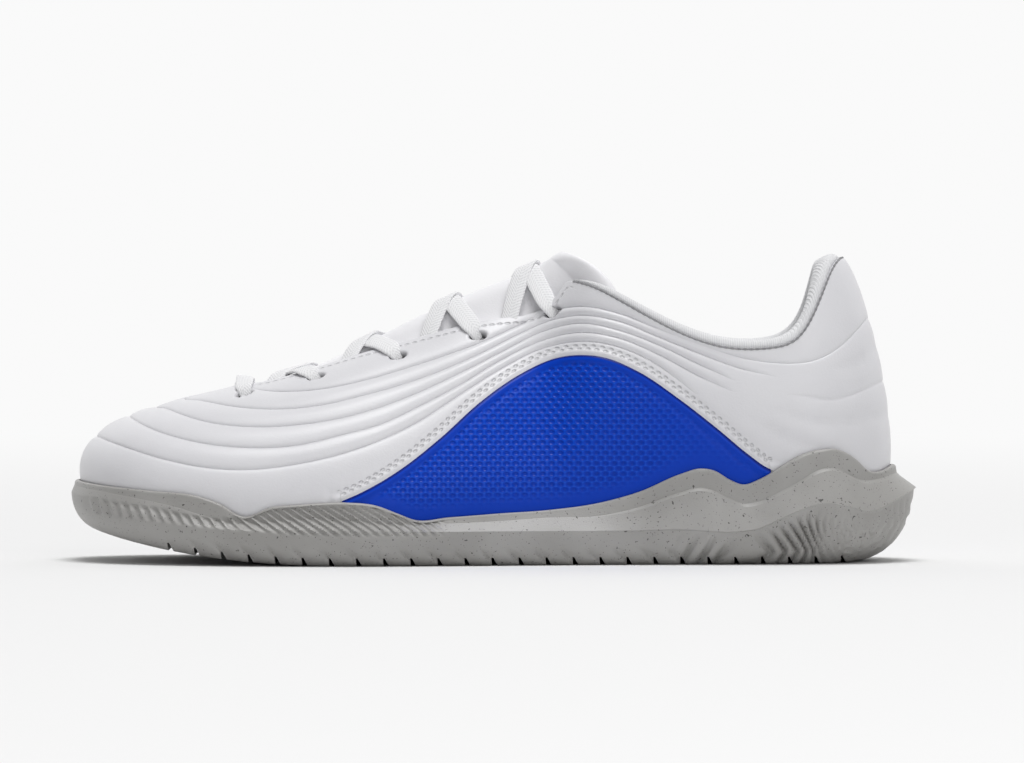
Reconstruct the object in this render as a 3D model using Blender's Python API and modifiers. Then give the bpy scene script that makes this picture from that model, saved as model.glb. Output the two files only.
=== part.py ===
"""Indoor soccer shoe for the left foot, standing empty on its flat rubber sole.

The toe points to -X, the outer (lateral) side of the foot is at -Y and the floor is z = 0. The upper
is one hollow shell. Its wall is a family of cubic curves that rise from the feather line, where the
shell meets the sole, to the crest, which is the ridge of the vamp in front and the top line of the
collar behind. Every other piece is worked out from that wall: the cup of the sole, the insole, the
tongue, the padded collar, the side panels and their recesses, the eyelets and the lacing.
"""

import bmesh
import bpy
import numpy as np
from mathutils import Matrix, Vector
from mathutils.bvhtree import BVHTree

# Driving sizes, in metres
LENGTH = 0.296              # sole, from heel to toe
BALL_WIDTH = 0.098          # upper, across the ball of the foot
INSTEP_HEIGHT = 0.097       # ridge of the vamp at the top eyelets, above the floor
HEEL_HEIGHT = 0.106         # top line at the back, above the floor
WALL = 0.0024               # upper, leather with its lining
CLEARANCE = 0.0003          # between pieces that touch
CUP_GAP = 0.0004            # between the upper and the cup of the sole
SIDEWALL_HEIGHT = 0.040     # highest wave of the sole's edge, beside the heel
HEEL_FLOOR = 0.0185         # feather line above the floor at the heel
TOE_SPRING = 0.0145         # rise of the sole under the toe
FLAT_START = 0.350          # where the sole meets the floor, as a share of the length
SOLE_LIP = 0.0016           # rubber beside the upper at the sole's top edge
INSOLE_THICKNESS = 0.0045
THROAT_FRONT = 0.0085       # half width of the lacing gap at its front end
THROAT_TOP = 0.0130         # half width of the lacing gap at the top eyelets
THROAT_ROUND = 0.010        # length of the gap's rounded front end
TONGUE_THICKNESS = 0.0050
PAD_DEPTH = 0.032           # collar padding, from the top line down
PAD_THICKNESS = 0.008
PAD_ROLL = 0.0055           # padding that stands above the top line, at its fullest
LINING = 0.0013             # thin front end of the collar padding
PANEL_THICKNESS = 0.0007
PANEL_RECESS = 0.0010
PANEL_TUCK = 0.0020         # panel below the sole's edge
EYELET_LENGTH = 0.0064
EYELET_WIDTH = 0.0042
LACE_WIDTH = 0.0063
LACE_THICKNESS = 0.0014
LUG_PITCH = 0.0092
LUG_GAP = 0.0026
LUG_DEPTH = 0.0028
LUG_SLANT = 0.0022          # how far a gap leans back over its depth
RIB_PITCH = 0.0060
RIB_GAP = 0.0018
RIB_DEPTH = 0.0008

CENTRE_SHIFT = 0.0138       # share of BALL_WIDTH that centres the curved sole on y = 0

# Where the lacing gap begins, as a share of the length, then each eyelet: share of the length and
# distance below the edge of the gap
THROAT_START = 0.202
EYELETS = ((0.206, 0.0100), (0.291, 0.0080), (0.388, 0.0080), (0.481, 0.0068), (0.569, 0.0044))
LUG_GAP_ENDS = (0.118, 0.905)    # first and last gap between lugs

# One row for each station from the toe tip to the back of the heel.
# Feather line: share of LENGTH, outer and inner side as shares of BALL_WIDTH.
# Lower handle of the wall curve: outward (BALL_WIDTH) and upward (HEEL_HEIGHT).
# Crest: share of LENGTH, ridge line and half opening (BALL_WIDTH), height as a share of
# INSTEP_HEIGHT plus a share of HEEL_HEIGHT.
# Upper handle: outward (BALL_WIDTH) and downward (HEEL_HEIGHT).
STATIONS = np.array([
    # foot  outer   inner  lean   lift   crest  ridge  half   instep heel   out    drop
    (0.020, 0.071, 0.071, 0.133, 0.243, 0.122, 0.056, 0.000, 0.578, 0.000, 0.143, 0.033),
    (0.027, -0.061, 0.194, 0.133, 0.236, 0.124, 0.056, 0.000, 0.580, 0.000, 0.153, 0.033),
    (0.047, -0.179, 0.281, 0.133, 0.226, 0.132, 0.056, 0.000, 0.587, 0.000, 0.184, 0.032),
    (0.079, -0.276, 0.347, 0.138, 0.208, 0.145, 0.055, 0.000, 0.596, 0.000, 0.230, 0.032),
    (0.122, -0.347, 0.393, 0.143, 0.179, 0.164, 0.053, 0.000, 0.609, 0.000, 0.265, 0.028),
    (0.169, -0.401, 0.421, 0.148, 0.160, 0.189, 0.051, 0.000, 0.628, 0.000, 0.286, 0.022),
    (0.223, -0.439, 0.434, 0.153, 0.151, 0.228, 0.047, 0.000, 0.658, 0.000, 0.291, 0.013),
    (0.284, -0.459, 0.429, 0.153, 0.151, 0.280, 0.041, 0.000, 0.703, 0.000, 0.286, 0.004),
    (0.348, -0.457, 0.403, 0.148, 0.160, 0.343, 0.036, 0.000, 0.771, 0.000, 0.265, -0.004),
    (0.416, -0.429, 0.362, 0.138, 0.179, 0.410, 0.033, 0.000, 0.838, 0.000, 0.240, -0.012),
    (0.483, -0.393, 0.321, 0.128, 0.198, 0.480, 0.031, 0.000, 0.915, 0.000, 0.204, -0.007),
    (0.547, -0.357, 0.298, 0.112, 0.217, 0.544, 0.031, 0.000, 0.993, 0.000, 0.153, 0.019),
    (0.595, -0.335, 0.289, 0.102, 0.226, 0.590, 0.015, 0.148, 1.008, 0.000, 0.102, 0.094),
    (0.642, -0.318, 0.286, 0.092, 0.226, 0.632, 0.008, 0.256, 0.965, 0.000, 0.066, 0.160),
    (0.703, -0.306, 0.286, 0.087, 0.226, 0.696, 0.003, 0.302, 0.428, 0.392, 0.041, 0.160),
    (0.770, -0.298, 0.286, 0.092, 0.217, 0.764, 0.000, 0.312, 0.000, 0.709, 0.036, 0.142),
    (0.831, -0.286, 0.279, 0.097, 0.208, 0.821, 0.000, 0.302, 0.000, 0.702, 0.036, 0.123),
    (0.875, -0.265, 0.260, 0.107, 0.189, 0.856, 0.000, 0.265, 0.000, 0.734, 0.046, 0.132),
    (0.909, -0.219, 0.214, 0.122, 0.170, 0.879, 0.000, 0.212, 0.000, 0.830, 0.061, 0.142),
    (0.933, -0.148, 0.145, 0.143, 0.142, 0.896, 0.000, 0.141, 0.000, 0.940, 0.071, 0.123),
    (0.946, -0.073, 0.073, 0.158, 0.127, 0.908, 0.000, 0.069, 0.000, 0.991, 0.071, 0.075),
    (0.950, 0.000, 0.000, 0.161, 0.125, 0.914, 0.000, 0.000, 0.000, 1.000, 0.070, 0.042),
])
HEEL_STATION = len(STATIONS) - 1
COLLAR_STATION = 12         # the lacing gap ends here and the collar begins

# Waved edge of the sole: share of LENGTH, height as a share of SIDEWALL_HEIGHT
SOLE_EDGE = np.array([
    (0.000, 0.715), (0.037, 0.683), (0.099, 0.643), (0.157, 0.598), (0.181, 0.538), (0.210, 0.430),
    (0.242, 0.510), (0.275, 0.533), (0.333, 0.550), (0.362, 0.528), (0.391, 0.450), (0.407, 0.403),
    (0.449, 0.420), (0.507, 0.450), (0.566, 0.478), (0.624, 0.538), (0.671, 0.635), (0.718, 0.785),
    (0.741, 0.833), (0.758, 0.813), (0.776, 0.735), (0.791, 0.695), (0.811, 0.743), (0.834, 0.843),
    (0.857, 0.945), (0.881, 0.995), (0.893, 1.000), (0.905, 0.970), (0.919, 0.908), (0.934, 0.813),
    (0.953, 0.798), (0.969, 0.845),
])

# Steps of the sidewall: share of LENGTH, then the upper ridge and the widest line as shares of
# SIDEWALL_HEIGHT
SOLE_STEPS = np.array([
    (0.000, 0.660, 0.600), (0.060, 0.600, 0.500), (0.120, 0.520, 0.400), (0.200, 0.375, 0.320),
    (0.280, 0.420, 0.320), (0.410, 0.360, 0.300), (0.500, 0.380, 0.300), (0.570, 0.410, 0.300),
    (0.624, 0.420, 0.300), (0.671, 0.480, 0.305), (0.718, 0.600, 0.313), (0.741, 0.640, 0.305),
    (0.758, 0.615, 0.297), (0.776, 0.550, 0.290), (0.791, 0.505, 0.300), (0.811, 0.520, 0.325),
    (0.834, 0.600, 0.400), (0.857, 0.690, 0.475), (0.881, 0.790, 0.530), (0.893, 0.810, 0.535),
    (0.905, 0.800, 0.520), (0.919, 0.745, 0.500), (0.934, 0.700, 0.465), (0.953, 0.700, 0.480),
    (0.975, 0.740, 0.560), (1.000, 0.757, 0.645),
])

# Sidewall beyond the feather line: share of LENGTH at the feather line, then the widest line and
# the edge of the tread as shares of BALL_WIDTH
SOLE_FLANGE = np.array([
    (0.020, 0.062, -0.060), (0.060, 0.071, -0.030), (0.120, 0.080, -0.010), (0.200, 0.082, 0.010),
    (0.300, 0.084, 0.015), (0.420, 0.082, 0.015), (0.550, 0.082, 0.020), (0.650, 0.087, 0.020),
    (0.750, 0.097, 0.010), (0.830, 0.107, 0.000), (0.900, 0.122, -0.030), (0.935, 0.138, -0.060),
    (0.950, 0.151, -0.082),
])

# Thickness of rubber under the feather line: share of LENGTH, share of HEEL_FLOOR
SOLE_FLOOR = np.array([
    (0.020, 0.400), (0.095, 0.490), (0.200, 0.570), (0.280, 0.595), (0.430, 0.600), (0.500, 0.650),
    (0.600, 0.760), (0.700, 0.890), (0.840, 0.970), (0.950, 1.000),
])

# Humped outline of the side panel: share of LENGTH, share of HEEL_HEIGHT
PANEL_TOP = np.array([
    (0.320, 0.209), (0.345, 0.239), (0.392, 0.315), (0.438, 0.415), (0.484, 0.530), (0.531, 0.621),
    (0.577, 0.677), (0.600, 0.685), (0.624, 0.681), (0.670, 0.631), (0.717, 0.543), (0.763, 0.443),
    (0.798, 0.362), (0.821, 0.317), (0.827, 0.310),
])
PANEL_ENDS = (0.325, 0.824)

# Tongue: station, flank below the edge of the gap and inside the wall (BALL_WIDTH), centre line as
# a share of LENGTH and of INSTEP_HEIGHT
TONGUE = np.array([
    # station down   inset  centre height
    (5.20, 0.140, 0.030, 0.196, 0.602), (5.80, 0.095, 0.030, 0.219, 0.629),
    (7.00, 0.095, 0.030, 0.280, 0.685),
    (8.00, 0.095, 0.030, 0.343, 0.772),
    (9.00, 0.095, 0.030, 0.410, 0.874),
    (10.00, 0.095, 0.030, 0.480, 0.970),
    (11.00, 0.090, 0.032, 0.544, 1.045),
    (11.60, 0.075, 0.046, 0.561, 1.076),
    (12.30, 0.045, 0.058, 0.574, 1.102),
    (13.20, 0.020, 0.074, 0.585, 1.116),
])

# Collar padding: station, share of PAD_THICKNESS, share of PAD_ROLL, share of PAD_DEPTH
PADDING = np.array([
    (12.1, 0.00, 0.25, 0.70), (13.0, 0.08, 0.45, 0.85), (14.5, 0.80, 0.60, 1.00), (16.0, 1.00, 0.60, 1.00),
    (17.0, 1.00, 0.75, 1.00), (18.0, 1.00, 1.00, 1.00), (19.0, 0.95, 0.95, 1.00), (20.0, 0.90, 0.55, 1.00),
    (21.0, 0.90, 0.35, 1.00),
])

# Colours (RGBA, linear), roughness
FINISHES = {
    "rubber": ((0.30, 0.29, 0.27, 1.0), 0.65),
    "white_leather": ((0.82, 0.82, 0.85, 1.0), 0.35),
    "blue_leather": ((0.01, 0.05, 0.42, 1.0), 0.40),
    "knit_lining": ((0.78, 0.78, 0.78, 1.0), 0.90),
    "insole_cloth": ((0.35, 0.36, 0.40, 1.0), 0.90),
    "lace_cloth": ((0.85, 0.85, 0.86, 1.0), 0.80),
}

EXTRA_STATIONS = (5.25, 5.75)     # columns that round the front of the lacing gap
CUP_SHARES = (0, 0.5)             # rows of the wall inside the cup of the sole
CURVE_STEPS = np.linspace(0.0, 1.0, 161)


# Curves

def through(table, column, at):
    """A smooth curve through one column of a table, by Hermite spans with averaged slopes."""
    xs, ys = table[:, 0], table[:, column]
    slopes = np.gradient(ys, xs)
    at = np.clip(at, xs[0], xs[-1])
    i = np.clip(np.searchsorted(xs, at, side="right") - 1, 0, len(xs) - 2)
    width = xs[i + 1] - xs[i]
    t = (at - xs[i]) / width
    return (ys[i] * (1 + 2 * t) * (1 - t) ** 2 + ys[i + 1] * t * t * (3 - 2 * t)
            + width * (slopes[i] * t * (1 - t) ** 2 - slopes[i + 1] * t * t * (1 - t)))


def closed_spline(values):
    """The second derivatives of the closed cubic spline through values at whole stations."""
    count = len(values)
    system = 4 * np.eye(count) + np.roll(np.eye(count), 1, 0) + np.roll(np.eye(count), -1, 0)
    return np.linalg.solve(system, 6 * (np.roll(values, 1) - 2 * values + np.roll(values, -1)))


def around(column):
    """A column of STATIONS carried round the shoe: outer side heel to toe, then inner side."""
    outer, inner = (1, 2) if column == 1 else (column, column)
    return np.concatenate([STATIONS[::-1, outer], STATIONS[1:-1, inner]])


SPLINES = {}
for _name, _column in (("foot", 0), ("side", 1), ("lean", 3), ("lift", 4), ("crest", 5), ("ridge", 6),
                       ("half", 7), ("instep", 8), ("heel", 9), ("out", 10), ("drop", 11)):
    _values = around(_column)
    if _name in ("side", "ridge"):
        _values = _values + CENTRE_SHIFT
    if _name == "half":
        _values = _values * np.concatenate([-np.ones(HEEL_STATION + 1), np.ones(HEEL_STATION - 1)])
    SPLINES[_name] = (_values, closed_spline(_values))


def value(name, p):
    """The spline of one station column at station p, negative on the outer side."""
    values, bends = SPLINES[name]
    p = np.asarray(p, float) + HEEL_STATION
    i = np.floor(p).astype(int)
    t = p - i
    i, j = i % len(values), (i + 1) % len(values)
    s = 1 - t
    return (values[i] * s + values[j] * t
            + ((s ** 3 - s) * bends[i] + (t ** 3 - t) * bends[j]) / 6)


def length_at(share):
    return (share - 0.5) * LENGTH


def share_at(x):
    return x / LENGTH + 0.5


# Heights of the sole

def tread_height(x):
    """Underside of the sole: flat on the floor, rising under the toe."""
    run = np.clip((FLAT_START - share_at(x)) / FLAT_START, 0, 1)
    return TOE_SPRING * run ** 2.5


def feather_height(x):
    return tread_height(x) + HEEL_FLOOR * through(SOLE_FLOOR, 1, share_at(x))


def edge_height(x):
    return SIDEWALL_HEIGHT * through(SOLE_EDGE, 1, share_at(x))


def panel_height(x):
    return HEEL_HEIGHT * through(PANEL_TOP, 1, share_at(x))


# Wall of the upper

def feather(p):
    """Feather line at station p, and its outward direction in plan."""
    def plan(q):
        return np.stack([length_at(value("foot", q)), BALL_WIDTH * value("side", q)], -1)
    tangent = plan(p + 0.01) - plan(p - 0.01)
    outward = np.stack([-tangent[..., 1], tangent[..., 0]], -1)
    outward /= np.linalg.norm(outward, axis=-1, keepdims=True)
    flat = plan(p)
    point = np.concatenate([flat, feather_height(flat[..., :1])], -1)
    return point, np.concatenate([outward, np.zeros_like(flat[..., :1])], -1)


def wall(p, h):
    """Outer face of the upper: a cubic curve from the feather line, h = 0, to the crest, h = 1."""
    p, h = np.broadcast_arrays(np.asarray(p, float), np.asarray(h, float))
    foot, outward = feather(p)
    up = np.array((0.0, 0.0, 1.0))
    crest = np.stack([
        length_at(value("crest", p)),
        BALL_WIDTH * (value("ridge", p) + value("half", p)),
        INSTEP_HEIGHT * value("instep", p) + HEEL_HEIGHT * value("heel", p)], -1)
    low = (foot + BALL_WIDTH * value("lean", p)[..., None] * outward
           + HEEL_HEIGHT * value("lift", p)[..., None] * up)
    high = (crest + BALL_WIDTH * value("out", p)[..., None] * outward
            - HEEL_HEIGHT * value("drop", p)[..., None] * up)
    h = h[..., None]
    return (foot * (1 - h) ** 3 + low * 3 * h * (1 - h) ** 2
            + high * 3 * h * h * (1 - h) + crest * h ** 3)


def outward_normal(p, h):
    along = wall(p + 0.02, h) - wall(p - 0.02, h)
    upward = wall(p, h + 0.005) - wall(p, h - 0.005)
    normal = np.cross(upward, along)
    return normal / np.linalg.norm(normal, axis=-1, keepdims=True)


def skin(p, h, inset):
    """A point inside the wall's outer face by inset, or outside it where inset is negative."""
    p, h = np.broadcast_arrays(np.asarray(p, float), np.asarray(h, float))
    return wall(p, h) - np.asarray(inset)[..., None] * outward_normal(p, h)


def first_crossing(measure):
    """Curve parameter where each row of measure, taken at CURVE_STEPS, first rises past zero."""
    passed = measure >= 0
    i = np.clip(np.argmax(passed, axis=1), 1, None)
    rows = np.arange(len(measure))
    before, after = measure[rows, i - 1], measure[rows, i]
    t = np.clip(-before / np.where(after == before, 1, after - before), 0, 1)
    crossing = CURVE_STEPS[i - 1] + t * (CURVE_STEPS[i] - CURVE_STEPS[i - 1])
    return np.where(passed.any(axis=1), crossing, 1.0)


def rim(p):
    """Curve parameter of the upper's top edge: the lacing gap in front, the crest behind."""
    p = np.atleast_1d(np.asarray(p, float))
    points = wall(p[:, None], CURVE_STEPS[None, ::-1])
    x = points[..., 0]
    start = length_at(THROAT_START)
    widening = (share_at(x) - THROAT_START) / (EYELETS[-1][0] - THROAT_START)
    half = THROAT_FRONT + (THROAT_TOP - THROAT_FRONT) * widening
    bow = np.clip(1 - (x - start) / THROAT_ROUND, 0, 1)
    half = np.where(x > start, half * np.sqrt(1 - bow ** 2), 0)
    off_ridge = np.abs(points[..., 1] - BALL_WIDTH * value("ridge", p)[:, None])
    return np.where(np.abs(p) < COLLAR_STATION, 1 - first_crossing(off_ridge - half), 1.0)


def height_on_wall(p, height):
    """Curve parameter where the wall first reaches height(x)."""
    p = np.atleast_1d(np.asarray(p, float))
    points = wall(p[:, None], CURVE_STEPS[None, :])
    return first_crossing(points[..., 2] - height(points[..., 0]))


def below_rim(p, down):
    """Curve parameter at a distance down the wall from the top edge."""
    p = np.atleast_1d(np.asarray(p, float))
    top = rim(p)
    steps = top[:, None] * CURVE_STEPS[None, ::-1]
    points = wall(p[:, None], steps)
    run = np.cumsum(np.linalg.norm(np.diff(points, axis=1), axis=2), axis=1)
    run = np.concatenate([np.zeros((len(p), 1)), run], axis=1)
    down = np.broadcast_to(down, p.shape)
    return np.array([np.interp(d, r, s) for d, r, s in zip(down, run, steps)])


def by_rim(p, down, inset):
    """A point at a distance down from the top edge, or above it along the wall's own direction."""
    p = np.atleast_1d(np.asarray(p, float))
    down = np.broadcast_to(down, p.shape)
    h = below_rim(p, np.clip(down, 0, None))
    upward = wall(p, h + 0.005) - wall(p, h - 0.005)
    upward /= np.linalg.norm(upward, axis=-1, keepdims=True)
    return skin(p, h, np.broadcast_to(inset, p.shape)) + np.clip(-down, 0, None)[:, None] * upward


def eyelet_station(side, share, inset):
    """Station where the line that far below the gap's edge passes a share of the length."""
    p = side * np.linspace(4.0, 13.0, 361)
    x = by_rim(p, inset, 0.0)[:, 0]
    return p[np.argmin(np.abs(x - length_at(share)))]


# Columns of every shell: the outer side from heel to toe, then the inner side back

SIDE = np.unique(np.concatenate([np.linspace(0, HEEL_STATION, 2 * HEEL_STATION + 1), EXTRA_STATIONS]))
COLUMNS = np.concatenate([-SIDE[:0:-1], SIDE[:-1]])


# Meshes

def add_object(name, mesh, finish=None, collection=None):
    obj = bpy.data.objects.new(name, mesh)
    (collection or SHOE).objects.link(obj)
    if finish:
        mesh.materials.append(MATERIALS[finish])
    return obj


def mesh_of(name, points, faces, outward=True):
    """A mesh from points and faces, with doubled points merged."""
    mesh = bpy.data.meshes.new(name)
    mesh.from_pydata([tuple(point) for point in points], [], faces)
    shape = bmesh.new()
    shape.from_mesh(mesh)
    bmesh.ops.remove_doubles(shape, verts=shape.verts, dist=1e-5)
    if outward:
        bmesh.ops.recalc_face_normals(shape, faces=shape.faces)
    shape.to_mesh(mesh)
    shape.free()
    mesh.shade_smooth()
    mesh.set_sharp_from_angle(angle=0.7)
    return mesh


def strips(rows, across, closed):
    """Quads between rows of points, each row with the same number of points across."""
    last = across if closed else across - 1
    return [(r * across + c, (r + 1) * across + c, (r + 1) * across + (c + 1) % across,
             r * across + (c + 1) % across)
            for r in range(rows - 1) for c in range(last)]


def ladder(first, count):
    """Faces that close a ring of points by joining its outer side to its inner side."""
    half = count // 2
    faces = []
    for c in range(half):
        rung = [first + c, first + c + 1, first + (count - c - 1) % count, first + (count - c) % count]
        faces.append(tuple(dict.fromkeys(rung)))
    return faces


def ringed_solid(name, rings):
    """A solid from rings of COLUMNS points, closed at its first and last ring."""
    count = len(COLUMNS)
    faces = strips(len(rings), count, True)
    faces += ladder(0, count) + ladder((len(rings) - 1) * count, count)
    return mesh_of(name, np.concatenate(rings), faces)


def lofted_solid(name, sections):
    """A solid from closed sections of equal length, capped at both ends."""
    count = len(sections[0])
    faces = strips(len(sections), count, True)
    faces += [tuple(range(count)), tuple(range((len(sections) - 1) * count, len(sections) * count))]
    return mesh_of(name, np.concatenate(sections), faces)


def slab(name, inner, outer):
    """A solid between two grids of points of the same shape."""
    rows, across = inner.shape[:2]
    edge = np.concatenate([
        np.arange(across), np.arange(2, rows + 1) * across - 1,
        (rows - 1) * across + np.arange(across - 2, -1, -1), np.arange(rows - 2, 0, -1) * across])
    size = rows * across
    faces = strips(rows, across, False)
    faces += [tuple(size + i for i in face) for face in faces]
    faces += [(a, b, size + b, size + a) for a, b in zip(edge, np.roll(edge, -1))]
    return mesh_of(name, np.concatenate([inner.reshape(-1, 3), outer.reshape(-1, 3)]),
                   [tuple(int(i) for i in face) for face in faces])


def cut(obj, cutter, operation="DIFFERENCE"):
    boolean = obj.modifiers.new(cutter.name, "BOOLEAN")
    boolean.operation = operation
    boolean.solver = "EXACT"
    boolean.object = cutter
    cutter.hide_render = True
    cutter.display_type = "WIRE"


def add_cutter(name, meshes):
    """One cutter made of several closed meshes that lie apart."""
    joined = bmesh.new()
    for mesh in meshes:
        joined.from_mesh(mesh)
        bpy.data.meshes.remove(mesh)
    mesh = bpy.data.meshes.new(name)
    joined.to_mesh(mesh)
    joined.free()
    return add_object(name, mesh, collection=CUTTERS)


# Pieces

def make_upper():
    """The hollow shell, with its recesses for the side panels and its eyelets cut out."""
    low = height_on_wall(COLUMNS, edge_height)
    top = rim(COLUMNS)
    rows = [low * share for share in CUP_SHARES]
    rows += [low + (top - low) * share for share in np.linspace(0, 1, 8)]
    points = wall(COLUMNS[None, :], np.array(rows))
    faces = strips(len(rows), len(COLUMNS), True)
    mesh = mesh_of("upper", points.reshape(-1, 3), faces, outward=False)
    obj = add_object("upper", mesh, "white_leather")
    shell = obj.modifiers.new("wall", "SOLIDIFY")
    shell.thickness = WALL
    shell.offset = -1
    cut(obj, add_cutter("panel_recesses", [panel_mesh(side, CLEARANCE) for side in (-1, 1)]))
    cut(obj, add_cutter("eyelet_holes", [eyelet_mesh(side, *eyelet) for side in (-1, 1) for eyelet in EYELETS]))
    return obj


def panel_mesh(side, margin):
    """A side panel as a slab of the wall, or its recess where a margin is given."""
    reach = margin / LENGTH
    fine = side * np.linspace(6.5, 17.5, 441)
    x = wall(fine, height_on_wall(fine, edge_height))[:, 0]
    ends = [fine[np.argmin(np.abs(x - length_at(share)))]
            for share in (PANEL_ENDS[0] - reach, PANEL_ENDS[1] + reach)]
    between = COLUMNS[(COLUMNS * side > ends[0] * side + 0.1) & (COLUMNS * side < ends[1] * side - 0.1)]
    stations = np.concatenate([[ends[0]], np.sort(between * side) * side, [ends[1]]])
    low = height_on_wall(stations, lambda at: edge_height(at) - PANEL_TUCK - margin)
    high = height_on_wall(stations, lambda at: panel_height(at) + margin)
    steps = low + (high - low) * np.linspace(0, 1, 7)[:, None]
    inner, outer = (PANEL_RECESS, -WALL) if margin else (PANEL_THICKNESS, 0.0)
    grid = np.broadcast_to(stations, steps.shape)
    return slab("panel", skin(grid, steps, inner), skin(grid, steps, outer))


def eyelet_mesh(side, share, inset):
    """An oval plug through the wall, longer along the throat than across it."""
    p = eyelet_station(side, share, inset)
    h = below_rim(p, inset)
    place = Vector(wall(p, h)[0])
    axis = Vector(outward_normal(np.array([p]), h)[0])
    along = Vector((1, 0, 0)) - axis * axis.x
    along.normalize()
    turn = Matrix((along, axis.cross(along), axis)).transposed().to_4x4()
    shape = bmesh.new()
    bmesh.ops.create_cone(
        shape, cap_ends=True, segments=12, radius1=0.5, radius2=0.5, depth=4 * WALL,
        matrix=Matrix.Translation(place) @ turn @ Matrix.Diagonal((EYELET_LENGTH, EYELET_WIDTH, 1, 1)))
    mesh = bpy.data.meshes.new("eyelet")
    shape.to_mesh(mesh)
    shape.free()
    return mesh


def sole_rings():
    """Rings of the sole from the edge of its tread, up its sidewall, over its lip and into its cup."""
    foot, outward = feather(COLUMNS)
    station = share_at(foot[:, 0])
    widest = BALL_WIDTH * through(SOLE_FLANGE, 1, station)
    base = BALL_WIDTH * through(SOLE_FLANGE, 2, station)
    low = height_on_wall(COLUMNS, edge_height)
    edge = wall(COLUMNS, low)
    lip = np.sum((edge - foot) * outward, axis=1) + CUP_GAP + SOLE_LIP
    ridge = lip + 0.2 * (widest - lip)

    def ring(offset, height):
        points = foot + offset[:, None] * outward
        points[:, 2] = height(points[:, 0])
        return points

    def ridge_height(x):
        step = SIDEWALL_HEIGHT * through(SOLE_STEPS, 1, share_at(x))
        return np.minimum(step, edge[:, 2] - SOLE_LIP)

    def widest_height(x):
        step = SIDEWALL_HEIGHT * through(SOLE_STEPS, 2, share_at(x))
        return np.minimum(step, ridge_height(x) - SOLE_LIP)

    bottom, side = ring(base, tread_height), ring(widest, widest_height)
    rings = [bottom]
    for angle in np.radians((35, 65)):
        part = bottom + (side - bottom) * np.sin(angle)
        part[:, 2] = side[:, 2] - (side[:, 2] - bottom[:, 2]) * np.cos(angle)
        rings.append(part)
    rings += [side, ring(ridge, ridge_height)]
    lip_edge = foot + lip[:, None] * outward
    lip_edge[:, 2] = edge[:, 2] - CLEARANCE
    rings.append(lip_edge)
    rings += [skin(COLUMNS, low * share, -CUP_GAP) for share in (1, *CUP_SHARES[::-1])]
    rings[-1][:, 2] = foot[:, 2] - 2 * CLEARANCE
    return rings


def make_outsole():
    """The rubber cup sole with its lugs and the slanted ribs of its sidewall."""
    rings = sole_rings()
    obj = add_object("outsole", ringed_solid("outsole", rings), "rubber")
    cut(obj, add_cutter("lug_gaps", lug_gap_meshes()))
    cut(obj, add_cutter("rib_gaps", rib_gap_meshes(rings)))
    return obj


def lug_gap_meshes():
    """Slanted slots across the tread, one for each lug pitch from the toe to the heel."""
    reach = BALL_WIDTH
    gaps = []
    start, end = length_at(LUG_GAP_ENDS[0]), length_at(LUG_GAP_ENDS[1])
    for x in np.linspace(start, end, round((end - start) / LUG_PITCH) + 1):
        profile = np.array([
            (x, -LUG_DEPTH), (x + LUG_GAP, -LUG_DEPTH),
            (x + LUG_GAP + LUG_SLANT, LUG_DEPTH), (x + LUG_SLANT, LUG_DEPTH)])
        profile[:, 1] += tread_height(profile[:, 0])
        sections = [np.insert(profile, 1, y, axis=1) for y in (-reach, reach)]
        gaps.append(lofted_solid("gap", sections))
    return gaps


def rib_gap_meshes(rings):
    """Short slanted grooves in the front half of the sidewall, on both sides."""
    side = np.array(rings[2:5])
    heights = np.arange(len(side))
    gaps = []
    for direction in (-1, 1):
        columns = np.where((COLUMNS * direction > 3.4) & (COLUMNS * direction < 11.2))[0]
        columns = columns[np.argsort(COLUMNS[columns] * direction)]
        line = side[-1, columns, 0]
        for x in np.arange(line[0] + RIB_PITCH, line[-1] - RIB_PITCH, RIB_PITCH):
            at = x + RIB_PITCH * (1 - heights / heights[-1])
            path = np.array([[np.interp(a, side[row, columns, 0], side[row, columns, axis]) for axis in range(3)]
                             for row, a in enumerate(at)])
            gaps.append(lofted_solid("rib", groove_sections(path, direction)))
    return gaps


def groove_sections(path, direction):
    """Diamond sections along a path, wide along X and deep across the sidewall."""
    wide = np.array((RIB_GAP, 0, 0))
    deep = np.array((0, direction * RIB_DEPTH, 0))
    return [np.array([point + wide / 2, point + deep * 2, point - wide / 2, point - deep]) for point in path]


def make_insole():
    """The insole, which lies in the cup inside the wall."""
    foot, outward = feather(COLUMNS)
    inset = WALL + 3 * CLEARANCE
    bottom = foot - inset * outward
    bottom[:, 2] = foot[:, 2] - CLEARANCE
    level = height_on_wall(COLUMNS, lambda x: feather_height(x) + INSOLE_THICKNESS - WALL / 2)
    top = skin(COLUMNS, level, inset)
    top[:, 2] = foot[:, 2] + INSOLE_THICKNESS - CLEARANCE
    return add_object("insole", ringed_solid("insole", [bottom, top]), "insole_cloth")


def tongue_section(p, down, inset, centre):
    """Points across the tongue: along the wall under each eyestay, then an arch to its centre."""
    t = np.linspace(0, 1, 6)[:, None]
    halves = []
    for side in (-1, 1):
        under = by_rim(np.full(3, side * p), down * np.array((1, 0.5, 0)), inset)
        edge = under[-1]
        ahead = edge - under[-2]
        ahead *= np.linalg.norm(centre - edge) * 0.45 / np.linalg.norm(ahead)
        level = np.array((0, side * abs(edge[1] - centre[1]) * 0.55, 0))
        arch = (edge * (1 - t) ** 3 + (edge + ahead) * 3 * t * (1 - t) ** 2
                + (centre + level) * 3 * t * t * (1 - t) + centre * t ** 3)
        halves.append(np.concatenate([under[:-1], arch]))
    return np.concatenate([halves[0], halves[1][-2::-1]])


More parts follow.
